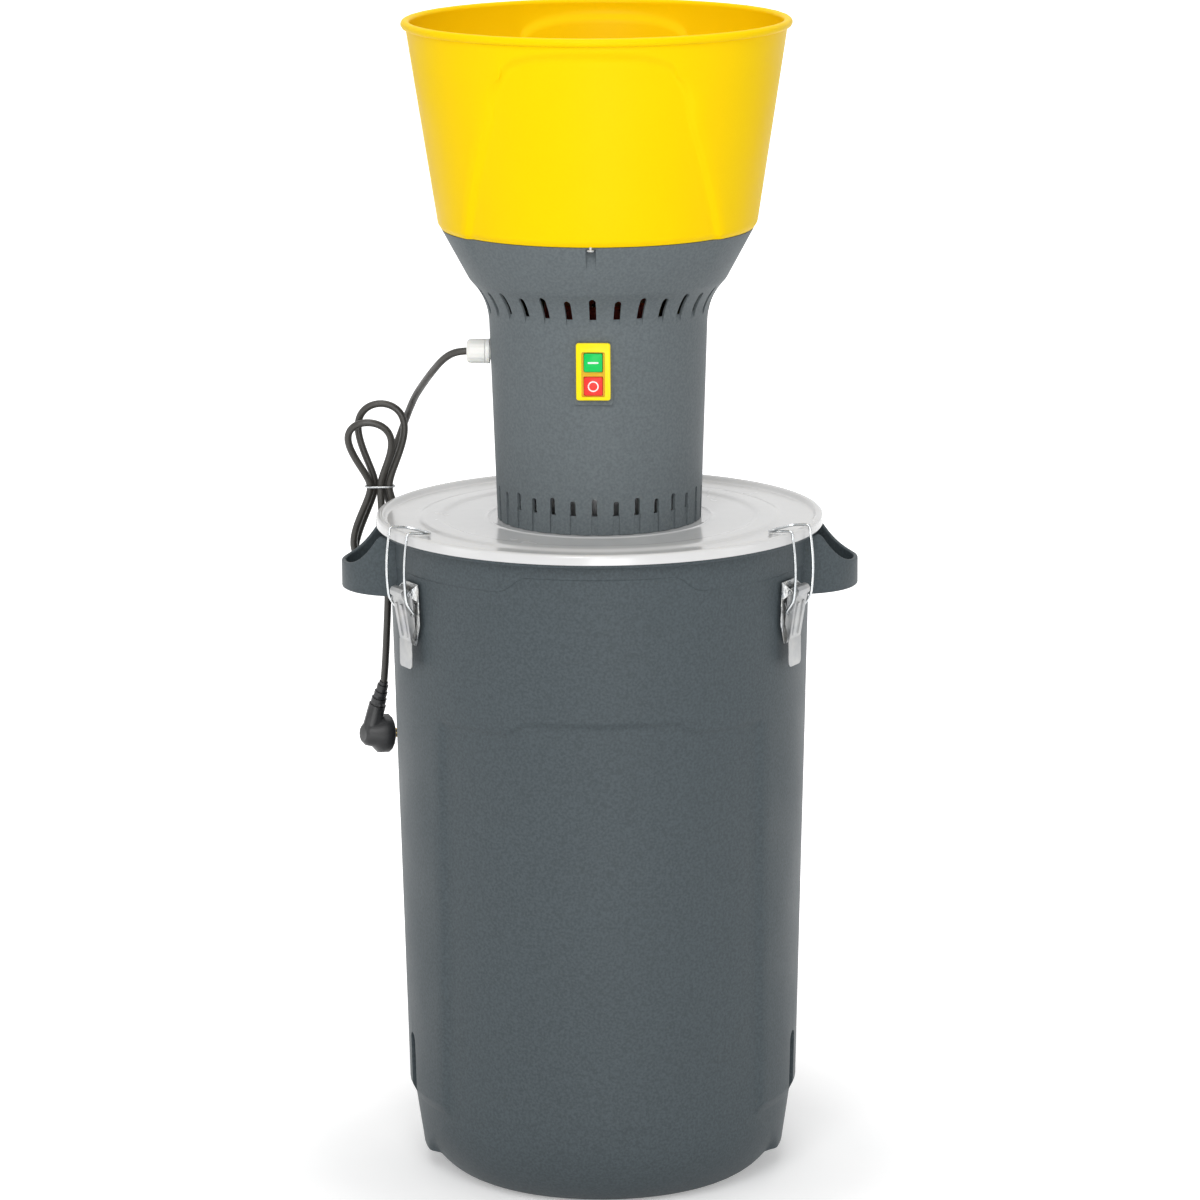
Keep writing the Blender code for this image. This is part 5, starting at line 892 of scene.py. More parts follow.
LOBE_WIDTHS = (0.043, 0.04, 0.043, 0.039)
LOBE_LEANS = (-0.004, 0.0, -0.002, -0.007)
LOBE_DEPTHS = (0.008, -0.004, -0.001, -0.015)
LOBE_BULGE_SHARE = 1.08
LOBE_NECK_SHARE = 0.25
STRAND_PLACE_SHARES = ((0.5, 0.87), (-0.5, 0.87), (1, 0), (-1, 0), (0, 0))
LINE_STEP = 0.00245
CORD_COMPANY = ("cord_tie", "mains_plug", "plug_pin_1", "plug_pin_2")


def even_steps(points, step):
    lengths = np.concatenate([[0], np.cumsum(np.linalg.norm(np.diff(points, axis=0), axis=1))])
    count = max(int(round(lengths[-1] / step)), 1)
    marks = np.linspace(0, lengths[-1], count + 1)
    return np.stack([np.interp(marks, lengths, points[:, k]) for k in range(3)], axis=1)


def smooth_route(points):
    """Points at even steps along a smooth curve through the route points."""
    spots = np.array([tuple(point) for point in points])
    padded = np.vstack([2 * spots[0] - spots[1], spots, 2 * spots[-1] - spots[-2]])
    dense = []
    for a, b, c, d in zip(padded, padded[1:], padded[2:], padded[3:]):
        for t in np.linspace(0, 1, 24, endpoint=False):
            cubic = (-a + 3 * b - 3 * c + d) * t**3 + (2 * a - 5 * b + 4 * c - d) * t**2
            dense.append((cubic + (c - a) * t + 2 * b) / 2)
    dense.append(spots[-1])
    return even_steps(np.array(dense), LINE_STEP)


def hank_points(pitch):
    """Middle line of the hank: four lobes through a waist."""
    strands = [(pitch * u, pitch * v) for u, v in STRAND_PLACE_SHARES]
    waist = np.array(HANK_PLACE)
    points = []
    lobes = zip(LOBE_HEIGHTS, LOBE_WIDTHS, LOBE_LEANS, LOBE_DEPTHS, strands, strands[1:])
    for height, width, lean, depth, start, end in lobes:
        side = 1 if start[0] > end[0] else -1
        for t in np.linspace(0, 1, 48, endpoint=False):
            swell = math.sin(math.pi * t)
            spread = LOBE_BULGE_SHARE * math.sin(math.tau * t) * swell**LOBE_NECK_SHARE
            u = mix(start[0], end[0], t) + side * width / 2 * spread + lean * swell
            v = mix(start[1], end[1], t) + depth * swell
            points.append(waist + (u, v, height * swell))
    points.append(waist + (*strands[-1], 0))
    return np.array(points)


def cord_line(pitch):
    """The cord's whole middle line, from the gland to the plug's strain relief."""
    hank = hank_points(pitch)
    lead = smooth_route([CORD_EXIT, *LEAD_ROUTE, hank[0]])
    tail = smooth_route([hank[-1], *TAIL_ROUTE, PLUG_TOP])
    points = np.vstack([lead, even_steps(hank, LINE_STEP)[1:], tail[1:]])
    for _ in range(12):
        inner = (points[:-2] + 2 * points[1:-1] + points[2:]) / 4
        points = np.vstack([points[:1], inner, points[-1:]])
    return points


class CRUSHER_OT_cord(bpy.types.Operator):
    """Makes the mains cord in its hank, and its wire tie"""

    bl_idname = "crusher.cord"
    bl_label = "Mains cord"

    def execute(self, context):
        sizes = context.scene.crusher_cord
        line = cord_line(sizes.pitch)
        curve = bpy.data.curves.new("mains_cord", "CURVE")
        curve.dimensions = "3D"
        curve.bevel_depth = sizes.radius
        curve.bevel_resolution = 4
        curve.use_fill_caps = True
        spline = curve.splines.new("POLY")
        spline.points.add(len(line) - 1)
        for spot, point in zip(spline.points, line):
            spot.co = (*point, 1)
        cord = bpy.data.objects.new("mains_cord", curve)
        context.collection.objects.link(cord)
        settle(cord, "cord_rubber", "head", "cord_lead", "cord_hank", "cord_tail")
        company = [fine_copy(name) for name in CORD_COMPANY]
        return {"FINISHED"}


# Bin


BELT_HEIGHT = 0.073
BELT_RISE = 0.0105
PAD_HEIGHT = 0.0187
PAD_RADIUS = 0.1715
PAD_EDGE = 0.0018
PANEL_FLANK = 0.006
PANEL_ARCH = 0.0115
PANEL_FOOT_HEIGHT = 0.027
PANEL_FOOT_TURN = math.radians(70)
PANEL_FOOT_FLANK = math.radians(5)
ARCH_FLAT_TURN = math.radians(20)
ARCH_END_TURN = math.radians(28)
NECK_HEIGHT = 0.593
COLLAR_ARCH = 0.015
COLLAR_REACH = 0.0014
FLANGE = 0.006
FLANGE_RISE = 0.0025
BIN_FLOOR = 0.004
GROOVE_TURN = math.radians(76.3)
GROOVE_WIDTH = 0.018
GROOVE_DEPTH = 0.0047
GROOVE_TOP = 0.137
BASE_SHARES = (0.004, 0.015, 0.03, 0.055, 0.09, 0.13, 0.18, 0.23)
ABOVE_SHARES = (0.1, 0.25, 0.45, 0.7)
INSIDE_SHARES = (0, 0.1, 0.2, 0.3, 0.37, 0.4, 0.43, 0.46, 0.49, 0.52, 0.55, 0.58)
INSIDE_SHARES += (0.66, 0.76, 0.86, 0.94)
FLANK_SHARES = (0, 0.25, 0.5, 0.75, 1)
OUTSIDE_SHARES = (0.08, 0.2, 0.35, 0.5, 0.65, 0.8, 0.92)
BASE_TOP_SHARE = 0.918
BASE_ROUNDNESS = 1.7
FLOOR_SHARES = (0.62, 0.4, 0.22, 0.1, 0.03)
HANDLE_PLACE = 0.187
HANDLE_WALL = 0.0045
HANDLE_EDGE = 0.0018
HANDLE_FOOT = 0.563
HANDLE_LOW_TOP = 0.589
HANDLE_RISE = 0.0305
HANDLE_RISE_SHARE = 0.65


def all_round(columns):
    """Columns all round, from those between the front and the side. Each is its zone, its share
    of the zone, whether it lies behind, and its side."""
    front = [(zone, share, 0) for zone, share in columns]
    back = [(zone, share, 1) for zone, share in reversed(columns)]
    half = [*front, (2, 1.0, 0), *back]
    return [(*column, 1) for column in half] + [(*column, -1) for column in reversed(half[1:-1])]


def column_turn(column, inner, outer):
    """Turn of a column, which follows the two edges of a recessed panel."""
    zone, share, behind, side = column
    limits = ((0, inner), (inner, outer), (outer, QUARTER))[zone]
    turn = mix(*limits, share)
    return side * (HALF_TURN - turn if behind else turn)


def column_recess(column):
    """How much of the panel's depth a column takes."""
    zone, share = column[:2]
    return (1, 1 - eased(share, 0, 1), 0)[zone]


def quarter(inside_shares):
    """Columns from the front to the side: in the recess, on its flank and outside it."""
    zones = (inside_shares, FLANK_SHARES, OUTSIDE_SHARES)
    return [(zone, share) for zone, shares in enumerate(zones) for share in shares]


class BinForm:
    """The bin's radii and edges by height."""

    def __init__(self, sizes):
        self.sizes = sizes
        self.belt_top = BELT_HEIGHT + BELT_RISE

    def base(self, height):
        share = part_of(height, 0, BELT_HEIGHT * BASE_TOP_SHARE)
        curve = (1 - (1 - share) ** BASE_ROUNDNESS) ** (1 / BASE_ROUNDNESS)
        return mix(self.sizes.base_radius, self.sizes.shoulder_radius, curve)

    def pad(self, height):
        share = part_of(height, PAD_HEIGHT, BELT_HEIGHT)
        return mix(PAD_RADIUS, self.sizes.shoulder_radius, share)

    def wall(self, height):
        rise = (height - self.belt_top) / (NECK_HEIGHT - self.belt_top)
        return mix(self.sizes.belt_radius, self.sizes.neck_radius, rise)

    def turn(self, column, height):
        radius = self.wall(max(height, BELT_HEIGHT))
        half = self.sizes.panel_half_width
        inner = math.asin((half - PANEL_FLANK / 2) / radius)
        outer = math.asin((half + PANEL_FLANK / 2) / radius)
        spread = 1 - part_of(height, PANEL_FOOT_HEIGHT, BELT_HEIGHT)
        inner = mix(inner, PANEL_FOOT_TURN, spread)
        outer = mix(outer, PANEL_FOOT_TURN + PANEL_FOOT_FLANK, spread)
        return column_turn(column, inner, outer)

    def arch(self, column, height, rise):
        """How far an edge is raised at a column."""
        away = from_front(self.turn(column, height))
        return height + rise * (1 - eased(away, ARCH_FLAT_TURN, ARCH_END_TURN))

    def corners(self, column):
        """The wall's outline at a column, from the middle of the base up, over the rim and down
        inside, as (radius, height, reach of the rounding)."""
        sizes = self.sizes
        sunk = column_recess(column)
        depth = sizes.panel_depth * sunk
        path = [(0, 0, 0), (sizes.base_radius, 0, 0)]
        for share in BASE_SHARES:
            height = share * BELT_HEIGHT
            path.append((self.base(height), height, 0))
        path.append((self.base(PAD_HEIGHT), PAD_HEIGHT, 0.0006))
        foot = PAD_HEIGHT + PAD_EDGE
        path.append((mix(self.pad(foot), self.base(foot), sunk), foot, 0.0006))
        for share in ABOVE_SHARES:
            height = mix(foot, BELT_HEIGHT, share)
            path.append((mix(self.pad(height), self.base(height), sunk), height, 0))
        path.append((sizes.shoulder_radius, BELT_HEIGHT, 0.0012))
        path.append((sizes.belt_radius - depth, self.belt_top, 0.0012))
        for share in (0.3, 0.6):
            height = mix(self.belt_top, sizes.panel_height, share)
            path.append((self.wall(height) - depth, height, 0))
        top = self.arch(column, sizes.panel_height, PANEL_ARCH)
        path.append((self.wall(sizes.panel_height) - depth, top - PANEL_FLANK, 0.0025))
        path.append((self.wall(sizes.panel_height), top, 0.0025))
        neck = self.arch(column, NECK_HEIGHT, COLLAR_ARCH)
        collar = sizes.neck_radius + COLLAR_REACH
        path.append((sizes.neck_radius, neck - COLLAR_REACH, 0.0005))
        path.append((collar, neck, 0.0005))
        flange_foot = sizes.height - FLANGE
        path.append((collar, flange_foot - FLANGE_RISE, 0.001))
        path.append((sizes.rim_radius, flange_foot, 0.0008))
        path.append((sizes.rim_radius, sizes.height, 0.0012))
        inset = sizes.wall + sizes.panel_depth
        path.append((sizes.neck_radius - inset, sizes.height, 0.0012))
        path.append((sizes.neck_radius - inset, NECK_HEIGHT, 0))
        path.append((sizes.belt_radius - inset, self.belt_top, 0.004))
        for share in FLOOR_SHARES:
            height = mix(BIN_FLOOR, BELT_HEIGHT, share)
            path.append((self.base(share * BELT_HEIGHT) - inset, height, 0))
        path.append((0, BIN_FLOOR, 0))
        return path

    def column(self, column):
        path = rounded(self.corners(column), 3)
        return [polar(radius, self.turn(column, height), height) for radius, height in path]


def groove_tool(turn, belt_radius, reach):
    """Cutter of one grip groove low on the side."""
    half = GROOVE_WIDTH / 2
    crown = arc((0, GROOVE_TOP - half), half, 0, HALF_TURN, 16)
    outline = [(-half, BELT_HEIGHT), (half, BELT_HEIGHT), *crown]
    return turned_by(slab(outline, -reach, GROOVE_DEPTH - belt_radius), turn)


def handle_shape(sizes):
    """A D-shaped grip on the +X side: a wall with round edges spun through a half circle, its
    top edge curved up to the rim."""
    radius = sizes.handle_radius - HANDLE_WALL / 2
    half = (HANDLE_LOW_TOP - HANDLE_FOOT) / 2
    middle = HANDLE_FOOT + half
    section = rounded_box(HANDLE_WALL / 2, half, HANDLE_EDGE, middle)
    bm = bmesh.new()
    loop = [bm.verts.new((radius + x, 0, z)) for x, z in section]
    edges = [bm.edges.new((loop[i - 1], loop[i])) for i in range(len(loop))]
    bmesh.ops.rotate(bm, verts=loop, cent=(0, 0, 0), matrix=Matrix.Rotation(-QUARTER, 3, "Z"))
    swept = bmesh.ops.spin(
        bm, geom=loop + edges, axis=(0, 0, 1), cent=(0, 0, 0), angle=HALF_TURN, steps=48
    )
    far = [item for item in swept["geom_last"] if isinstance(item, bmesh.types.BMEdge)]
    bmesh.ops.contextual_create(bm, geom=edges)
    bmesh.ops.contextual_create(bm, geom=far)
    for vert in bm.verts:
        if vert.co.z > middle:
            back = 1 - vert.co.x / vert.co.xy.length
            vert.co.z += HANDLE_RISE * min(back / HANDLE_RISE_SHARE, 1) ** 2
    bmesh.ops.translate(bm, verts=bm.verts, vec=(HANDLE_PLACE, 0, 0))
    bmesh.ops.recalc_face_normals(bm, faces=bm.faces)
    return bm


class CRUSHER_OT_bin(bpy.types.Operator):
    """Makes the moulded bin with its recessed panels, grip grooves and side handles"""

    bl_idname = "crusher.bin"
    bl_label = "Bin"

    def execute(self, context):
        sizes = context.scene.crusher_bin
        form = BinForm(sizes)
        columns = [form.column(column) for column in all_round(quarter(INSIDE_SHARES))]
        shell = skin(columns)
        turns = (GROOVE_TURN, HALF_TURN - GROOVE_TURN, -GROOVE_TURN, GROOVE_TURN - HALF_TURN)
        tools = [groove_tool(turn, sizes.belt_radius, sizes.rim_radius) for turn in turns]
        shell = carve(shell, together(tools))
        piece("bin_shell", shell, "bin_plastic", "bin", "bin")
        for name, turn in (("right_handle", 0), ("left_handle", HALF_TURN)):
            piece(name, turned_by(handle_shape(sizes), turn), "bin_plastic", "bin", "bin")
        return {"FINISHED"}


# Lid


LID_BORE = 0.03
BEAD = (0.103, 0.1055, 0.108)
BEAD_RISE = 0.0012
RING = (0.14475, 0.15025, 0.16625, 0.17175)
RING_RISE = 0.002
RING_BEND = 0.003
RIM_BEND = 0.002
RIM_DROP = 0.0045
RIM_OUTSIDE = ((0.2035, 0.9), (0.2065, 1), (0.2098, 0.7))  # radius, share of the crest
LID_WINDOW = (0.0572, 0.0888, math.radians(30) + 0.005)
LID_WINDOW_REACH = 0.01


class CRUSHER_OT_lid(bpy.types.Operator):
    """Makes the pressed lid with its ring, bead and rolled rim"""

    bl_idname = "crusher.lid"
    bl_label = "Lid"

    def execute(self, context):
        sizes = context.scene.crusher_lid
        top, sheet, crest = sizes.height, sizes.sheet, sizes.crest
        bead = zip(BEAD, (0, BEAD_RISE, 0), (0.002, 0.0015, 0.002))
        ring = list(zip(RING, (0, RING_RISE, RING_RISE, 0)))
        upper = [(LID_BORE, top, 0), *[(radius, top + rise, reach) for radius, rise, reach in bead]]
        upper += [(radius, top + rise, RING_BEND) for radius, rise in ring]
        upper += [(0.2008, top, RIM_BEND)]
        upper += [(radius, top + crest * share, RIM_BEND) for radius, share in RIM_OUTSIDE]
        lower = [
            (sizes.radius, top - RIM_DROP, 0),
            (sizes.radius - sheet, top - RIM_DROP, 0),
            (0.2086, top + crest * 0.5, RIM_BEND),
            (0.2065, top + crest - sheet, RIM_BEND),
            (0.2044, top + crest * 0.6, RIM_BEND),
            (0.202, top - sheet, RIM_BEND),
        ]
        lower += [(radius, top + rise - sheet, RING_BEND) for radius, rise in reversed(ring)]
        lower += [(LID_BORE, top - sheet, 0), (LID_BORE, top, 0)]
        lid = spun(rounded(upper + lower, 4), 180)
        window = sector(*LID_WINDOW, top - LID_WINDOW_REACH, top + LID_WINDOW_REACH)
        turned_by(window, context.scene.crusher_head.turn)
        piece("pressed_lid", carve(lid, window), "lid_sheet", "head", "lid", sharp=50)
        for name in ("lid_gasket", "chamber_plate", "motor_plate"):
            fine_copy(name)
        return {"FINISHED"}


# Housing


NECK_TOP = 0.8189
FLARE_FOOT = 0.8292
FLARE_FOOT_RADIUS = 0.104
KINK_HEIGHT = 0.8556
FADE_HEIGHT = 0.874
HOUSING_ARCH_TURN = math.radians(52)
HOUSING_ARCH_EDGE = 0.0035 / 0.1455
# Width, foot, and the heights of the tall and the short slots.
UPPER_SLOT = (0.0063, 0.8331, 0.0184, 0.016)
LOWER_SLOT = (0.005, 0.6459, 0.0165, 0.0141)
SLOT_ROWS = ((UPPER_SLOT, 0.095, 0.1245), (LOWER_SLOT, 0.0885, 0.12))  # and the cutters' reach
FOOT_GROOVE_WIDTH = 0.0063
FOOT_GROOVE_DEPTH = 0.0015
WEDGE_DEPTH = 0.0022
POCKET_WIDTH = 0.0092
POCKET_FOOT = 0.8795
POCKET_BACK = 0.1325
SWITCH_HEIGHT = 0.7805
SEAT_HALF = (0.0177, 0.0287)
SEAT_CORNER = 0.0025
SEAT_FRONT, SEAT_BACK = 0.1019, 0.0974
OPENING_HALF = (0.0138, 0.0248)
GLAND_HEIGHT = 0.7847
GLAND_BORE = 0.0083
HOLE_REACH = 0.11
HOLE_ENDS = (0.08, 0.08, HOLE_REACH, HOLE_REACH)
HOUSING_COLUMNS = 240
SCREWS = 3


def housing_inset(turn, height, sizes, depth):
    """How far the flare is drawn in below the hopper's arches."""
    fade = part_of(height, FADE_HEIGHT, sizes.top_height) * depth
    edge = HOUSING_ARCH_EDGE
    away = from_front(turn)
    return fade * (1 - eased(away, HOUSING_ARCH_TURN - edge, HOUSING_ARCH_TURN + 3 * edge))


def housing_corners(sizes):
    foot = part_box("housing")[0].z
    wall = sizes.wall
    low, kink = (FLARE_FOOT_RADIUS, FLARE_FOOT), (sizes.kink_radius, KINK_HEIGHT)
    outside = [
        (sizes.foot_radius, foot, 0.0006),
        (sizes.neck_radius, NECK_TOP, 0.006),
        (*low, 0.006),
        (mix(low[0], kink[0], 0.2), mix(low[1], kink[1], 0.33), 0.004),
        (mix(low[0], kink[0], 0.53), mix(low[1], kink[1], 0.67), 0.004),
        (*kink, 0.0025),
    ]
    flare = [
        (mix(kink[0], sizes.top_radius, share), mix(kink[1], sizes.top_height, share), 0)
        for share in (0.39, 0.6, 0.8)
    ]
    top = [(sizes.top_radius - inset, sizes.top_height, 0.0005) for inset in (0, wall)]
    inside = [(r - wall, z, reach) for r, z, reach in reversed(outside[1:])]
    start = (sizes.foot_radius - wall, mix(foot, NECK_TOP, 0.5), 0)
    return [start, (sizes.foot_radius - wall, foot, 0.0006), *outside, *flare, *top, *inside, start]


def slot_outline(width, foot, top, steps=10):
    half = width / 2
    return [(-half, foot), (half, foot), *arc((0, top - half), half, 0, HALF_TURN, steps)]


class CRUSHER_OT_housing(bpy.types.Operator):
    """Makes the flared housing with its slots, screw pockets and switch seat"""

    bl_idname = "crusher.housing"
    bl_label = "Housing"

    def execute(self, context):
        sizes = context.scene.crusher_head
        depth = context.scene.crusher_hopper.arch_depth
        path = rounded(housing_corners(sizes), 4)
        columns = []
        for i in range(HOUSING_COLUMNS):
            turn = math.tau * (i + 1 / 2) / HOUSING_COLUMNS
            column = [(r - housing_inset(turn, z, sizes, depth), turn, z) for r, z in path]
            columns.append([polar(*spot) for spot in column])
        shell = carve(skin(columns), self.bosses(sizes, depth), "UNION")
        # Each kind of opening is cut by itself, because cutters that touch each other leave an
        # empty shell.
        for tools in (self.pockets, self.slots, self.grooves, self.wedges):
            shell = carve(shell, tools(sizes))
        outline = rounded_box(*SEAT_HALF, SEAT_CORNER, SWITCH_HEIGHT)
        shell = carve(shell, slab(outline, -SEAT_FRONT, -SEAT_BACK), "UNION")
        back = sizes.foot_radius - sizes.wall - 0.004
        outline = rounded_box(*OPENING_HALF, SEAT_CORNER, SWITCH_HEIGHT)
        shell = carve(shell, slab(outline, -HOLE_REACH, -back))
        hole = [(radius, reach) for radius, reach in zip((0, GLAND_BORE, GLAND_BORE, 0), HOLE_ENDS)]
        shell = carve(shell, laid(spun(hole, 32), -QUARTER, "Y", GLAND_HEIGHT))
        turned_by(shell, sizes.turn)
        piece("motor_housing", shell, "housing_plastic", "head", "housing", sharp=35)
        for i in range(SCREWS):
            fine_copy(f"hopper_screw_{i + 1}", 0.0004, finish=satin_zinc)
        return {"FINISHED"}

    def bosses(self, sizes, depth):
        """Material behind the screw pockets, under the slope of the flare."""
        half = POCKET_WIDTH / 2 + 0.002
        back = POCKET_BACK - 0.002
        high = sizes.top_height - HAIR

        def inside(turn, z):
            share = (z - KINK_HEIGHT) / (sizes.top_height - KINK_HEIGHT)
            radius = mix(sizes.kink_radius, sizes.top_radius, share)
            return radius - housing_inset(turn, z, sizes, depth) - sizes.wall / 2

        def boss(i):
            turn = math.tau * i / SCREWS
            slope = [(inside(turn, z), z) for z in (POCKET_FOOT, high)]
            return slab([(back, POCKET_FOOT), *slope, (back, high)], -half, half)

        return ring_of(boss, SCREWS, -QUARTER)

    def pockets(self, sizes):
        half = POCKET_WIDTH / 2
        ceiling = sizes.top_height - 0.0013
        foot = POCKET_FOOT - 0.004
        outline = [(-half, ceiling), (half, ceiling)]
        outline += arc((0, foot + half), half, 0, -HALF_TURN, 8)
        return ring_of(lambda i: slab(outline, -sizes.top_radius - 0.004, -POCKET_BACK), SCREWS)

    def slots(self, sizes):
        """Both rows of slots, alternately tall and short."""

        def pair(i):
            shapes = []
            for (width, low, tall, short), near, far in SLOT_ROWS:
                outline = slot_outline(width, low, low + (short if i % 2 else tall))
                shapes.append(slab(outline, -far, -near))
            return together(shapes)

        return ring_of(pair, sizes.slots)

    def wedges(self, sizes):
        """The shallow ramps that the mould leaves below the upper slots."""
        width, foot = UPPER_SLOT[:2]
        low, high, far = foot - 0.009, foot + 0.0012, 0.112
        near = mix(sizes.neck_radius, FLARE_FOOT_RADIUS, 0.6)
        outline = [(near, low), (far, low), (far, high), (near - WEDGE_DEPTH, high)]
        return ring_of(lambda i: slab(outline, -width / 2, width / 2), sizes.slots, -QUARTER)

    def grooves(self, sizes):
        """The shallow grooves that lead from the foot up to the lower slots."""
        half = FOOT_GROOVE_WIDTH / 2
        low, high = 0.62, LOWER_SLOT[1] + 0.002
        outline = [(-half, low), (half, low), (half, high), (-half, high)]
        far, near = 0.106, 0.09586 - FOOT_GROOVE_DEPTH
        return ring_of(lambda i: slab(outline, -far, -near), sizes.slots)


# Hopper


HOPPER_FOOT = 0.9025
HOPPER_CORNER = 0.005
HOPPER_FLANK = 0.0035
ARCH_SHOULDER = 1.0572
ARCH_TOP = 1.0795
ARCH_SHOULDER_TURN = math.radians(28.1)
ARCH_FOOT_TURN = math.radians(52)
ARCH_LEG_TURN = math.radians(34)
ARCH_LEG_HEIGHT = 1.0174
FUNNEL_TOP = 0.1285
FUNNEL_FLOOR = 0.1
FUNNEL_HEIGHT = 0.866
FUNNEL_WALL = 0.003
HOPPER_INSIDE_SHARES = (0, 0.1, 0.2, 0.3, 0.4, 0.5, 0.6, 0.68, 0.76, 0.82, 0.87, 0.91, 0.94, 0.97)
HOPPER_WALL_SHARES = (0, 0.15, 0.3, 0.45, 0.6, 0.75, 0.88)
HOPPER_SEAT_RADIUS = 0.1455
FEED_WINDOW = (0.0583, 0.0877, math.radians(29))
LIP_START, LIP_END = math.radians(-100), math.radians(200)


class HopperForm:
    """The hopper's radii and the edges of its arches by height."""

    def __init__(self, sizes):
        self.sizes = sizes
        self.low = HOPPER_FOOT + HOPPER_CORNER

    def wall(self, height):
        share = (height - self.low) / (self.sizes.lip_height - self.low)
        return mix(self.sizes.foot_radius, self.sizes.lip_radius, share)

    def turn(self, column, height):
        if height > ARCH_LEG_HEIGHT:
            share = part_of(height, ARCH_LEG_HEIGHT, ARCH_SHOULDER)
            edge = mix(ARCH_LEG_TURN, ARCH_SHOULDER_TURN, share**3)
        else:
            edge = mix(ARCH_FOOT_TURN, ARCH_LEG_TURN, part_of(height, HOPPER_FOOT, ARCH_LEG_HEIGHT))
        flank = HOPPER_FLANK / self.sizes.foot_radius
        return column_turn(column, edge - flank, edge + flank)

    def rise(self, column):
        """How far the arch rises above its shoulder at a column."""
        away = from_front(self.turn(column, ARCH_SHOULDER))
        share = min(away / ARCH_SHOULDER_TURN, 1)
        return (ARCH_TOP - ARCH_SHOULDER) * math.sqrt(1 - share**3)

    def wall_path(self, column, inset):
        """The wall from its corner up to the lip, as (radius, height, reach)."""
        sunk = column_recess(column) * self.sizes.arch_depth
        path = []
        for share in HOPPER_WALL_SHARES:
            height = mix(self.low, ARCH_SHOULDER - HOPPER_FLANK, share)
            path.append((self.wall(height) - sunk - inset, height, 0))
        rise = self.rise(column)
        low = ARCH_SHOULDER - HOPPER_FLANK + rise
        high = ARCH_SHOULDER + HOPPER_FLANK + rise
        path.append((self.wall(low) - sunk - inset, low, 0.003))
        path.append((self.wall(high) - inset, high, 0.003))
        return path

    def corners(self, column):
        sizes = self.sizes
        sunk = column_recess(column) * sizes.arch_depth
        low = HOPPER_FOOT + HAIR
        path = [
            (0, FUNNEL_HEIGHT, 0),
            (FUNNEL_FLOOR - FUNNEL_WALL / 2, FUNNEL_HEIGHT, 0.003),
            (FUNNEL_TOP, low, 0.001),
            (HOPPER_SEAT_RADIUS - sunk, low, 0.001),
        ]
        wall = self.wall_path(column, 0)
        path.append((wall[0][0], wall[0][1], 0.002))
        path += wall[1:]
        middle = (sizes.lip_radius, sizes.lip_height)
        lip = arc(middle, sizes.lip_round, LIP_START, LIP_END, 18)
        path += [(radius, height, 0) for radius, height in lip]
        path += list(reversed(self.wall_path(column, sizes.wall)))
        inner = low + FUNNEL_WALL
        path.append((FUNNEL_TOP + FUNNEL_WALL, inner + FUNNEL_WALL, 0.003))
        path.append((FUNNEL_FLOOR, FUNNEL_HEIGHT + FUNNEL_WALL, 0.003))
        path.append((0, FUNNEL_HEIGHT + FUNNEL_WALL, 0))
        return path

    def column(self, column):
        path = rounded(self.corners(column), 3)
        return [polar(radius, self.turn(column, height), height) for radius, height in path]


class CRUSHER_OT_hopper(bpy.types.Operator):
    """Makes the hopper with its arches, rolled lip, funnel and feed window"""

    bl_idname = "crusher.hopper"
    bl_label = "Hopper"

    def execute(self, context):
        form = HopperForm(context.scene.crusher_hopper)
        columns = all_round(quarter(HOPPER_INSIDE_SHARES))
        shell = skin([form.column(column) for column in columns])
        window = sector(*FEED_WINDOW, FUNNEL_HEIGHT - 0.005, FUNNEL_HEIGHT + 0.008)
        shell = carve(shell, window)
        turned_by(shell, context.scene.crusher_head.turn)
        piece("moulded_hopper", shell, "hopper_plastic", "head", "hopper")
        for name in ("feed_shutter", "shutter_stud"):
            fine_copy(name, 0.0005)
        fine_copy("feed_chute")
        return {"FINISHED"}


# Switch


PLATE_FRONT = 0.1058
PLATE_BACK = 0.1022
PLATE_HALF = (0.0158, 0.0266)
PLATE_CORNER = 0.0025
PLATE_LIFT = 0.0025
WELL_HALF = (0.0108, 0.0209)
WELL_CORNER = 0.0016
WELL_DEPTH = 0.0016
BUTTON_OFFSET = 0.01095
BUTTON_WINDOW_HALF = 0.0089
BUTTON_FACE = PLATE_FRONT + 0.0004
MARK_RELIEF = 0.0001
BAR_HALF = (0.0049, 0.0008)
STOP_RING = (0.0038, 0.005)


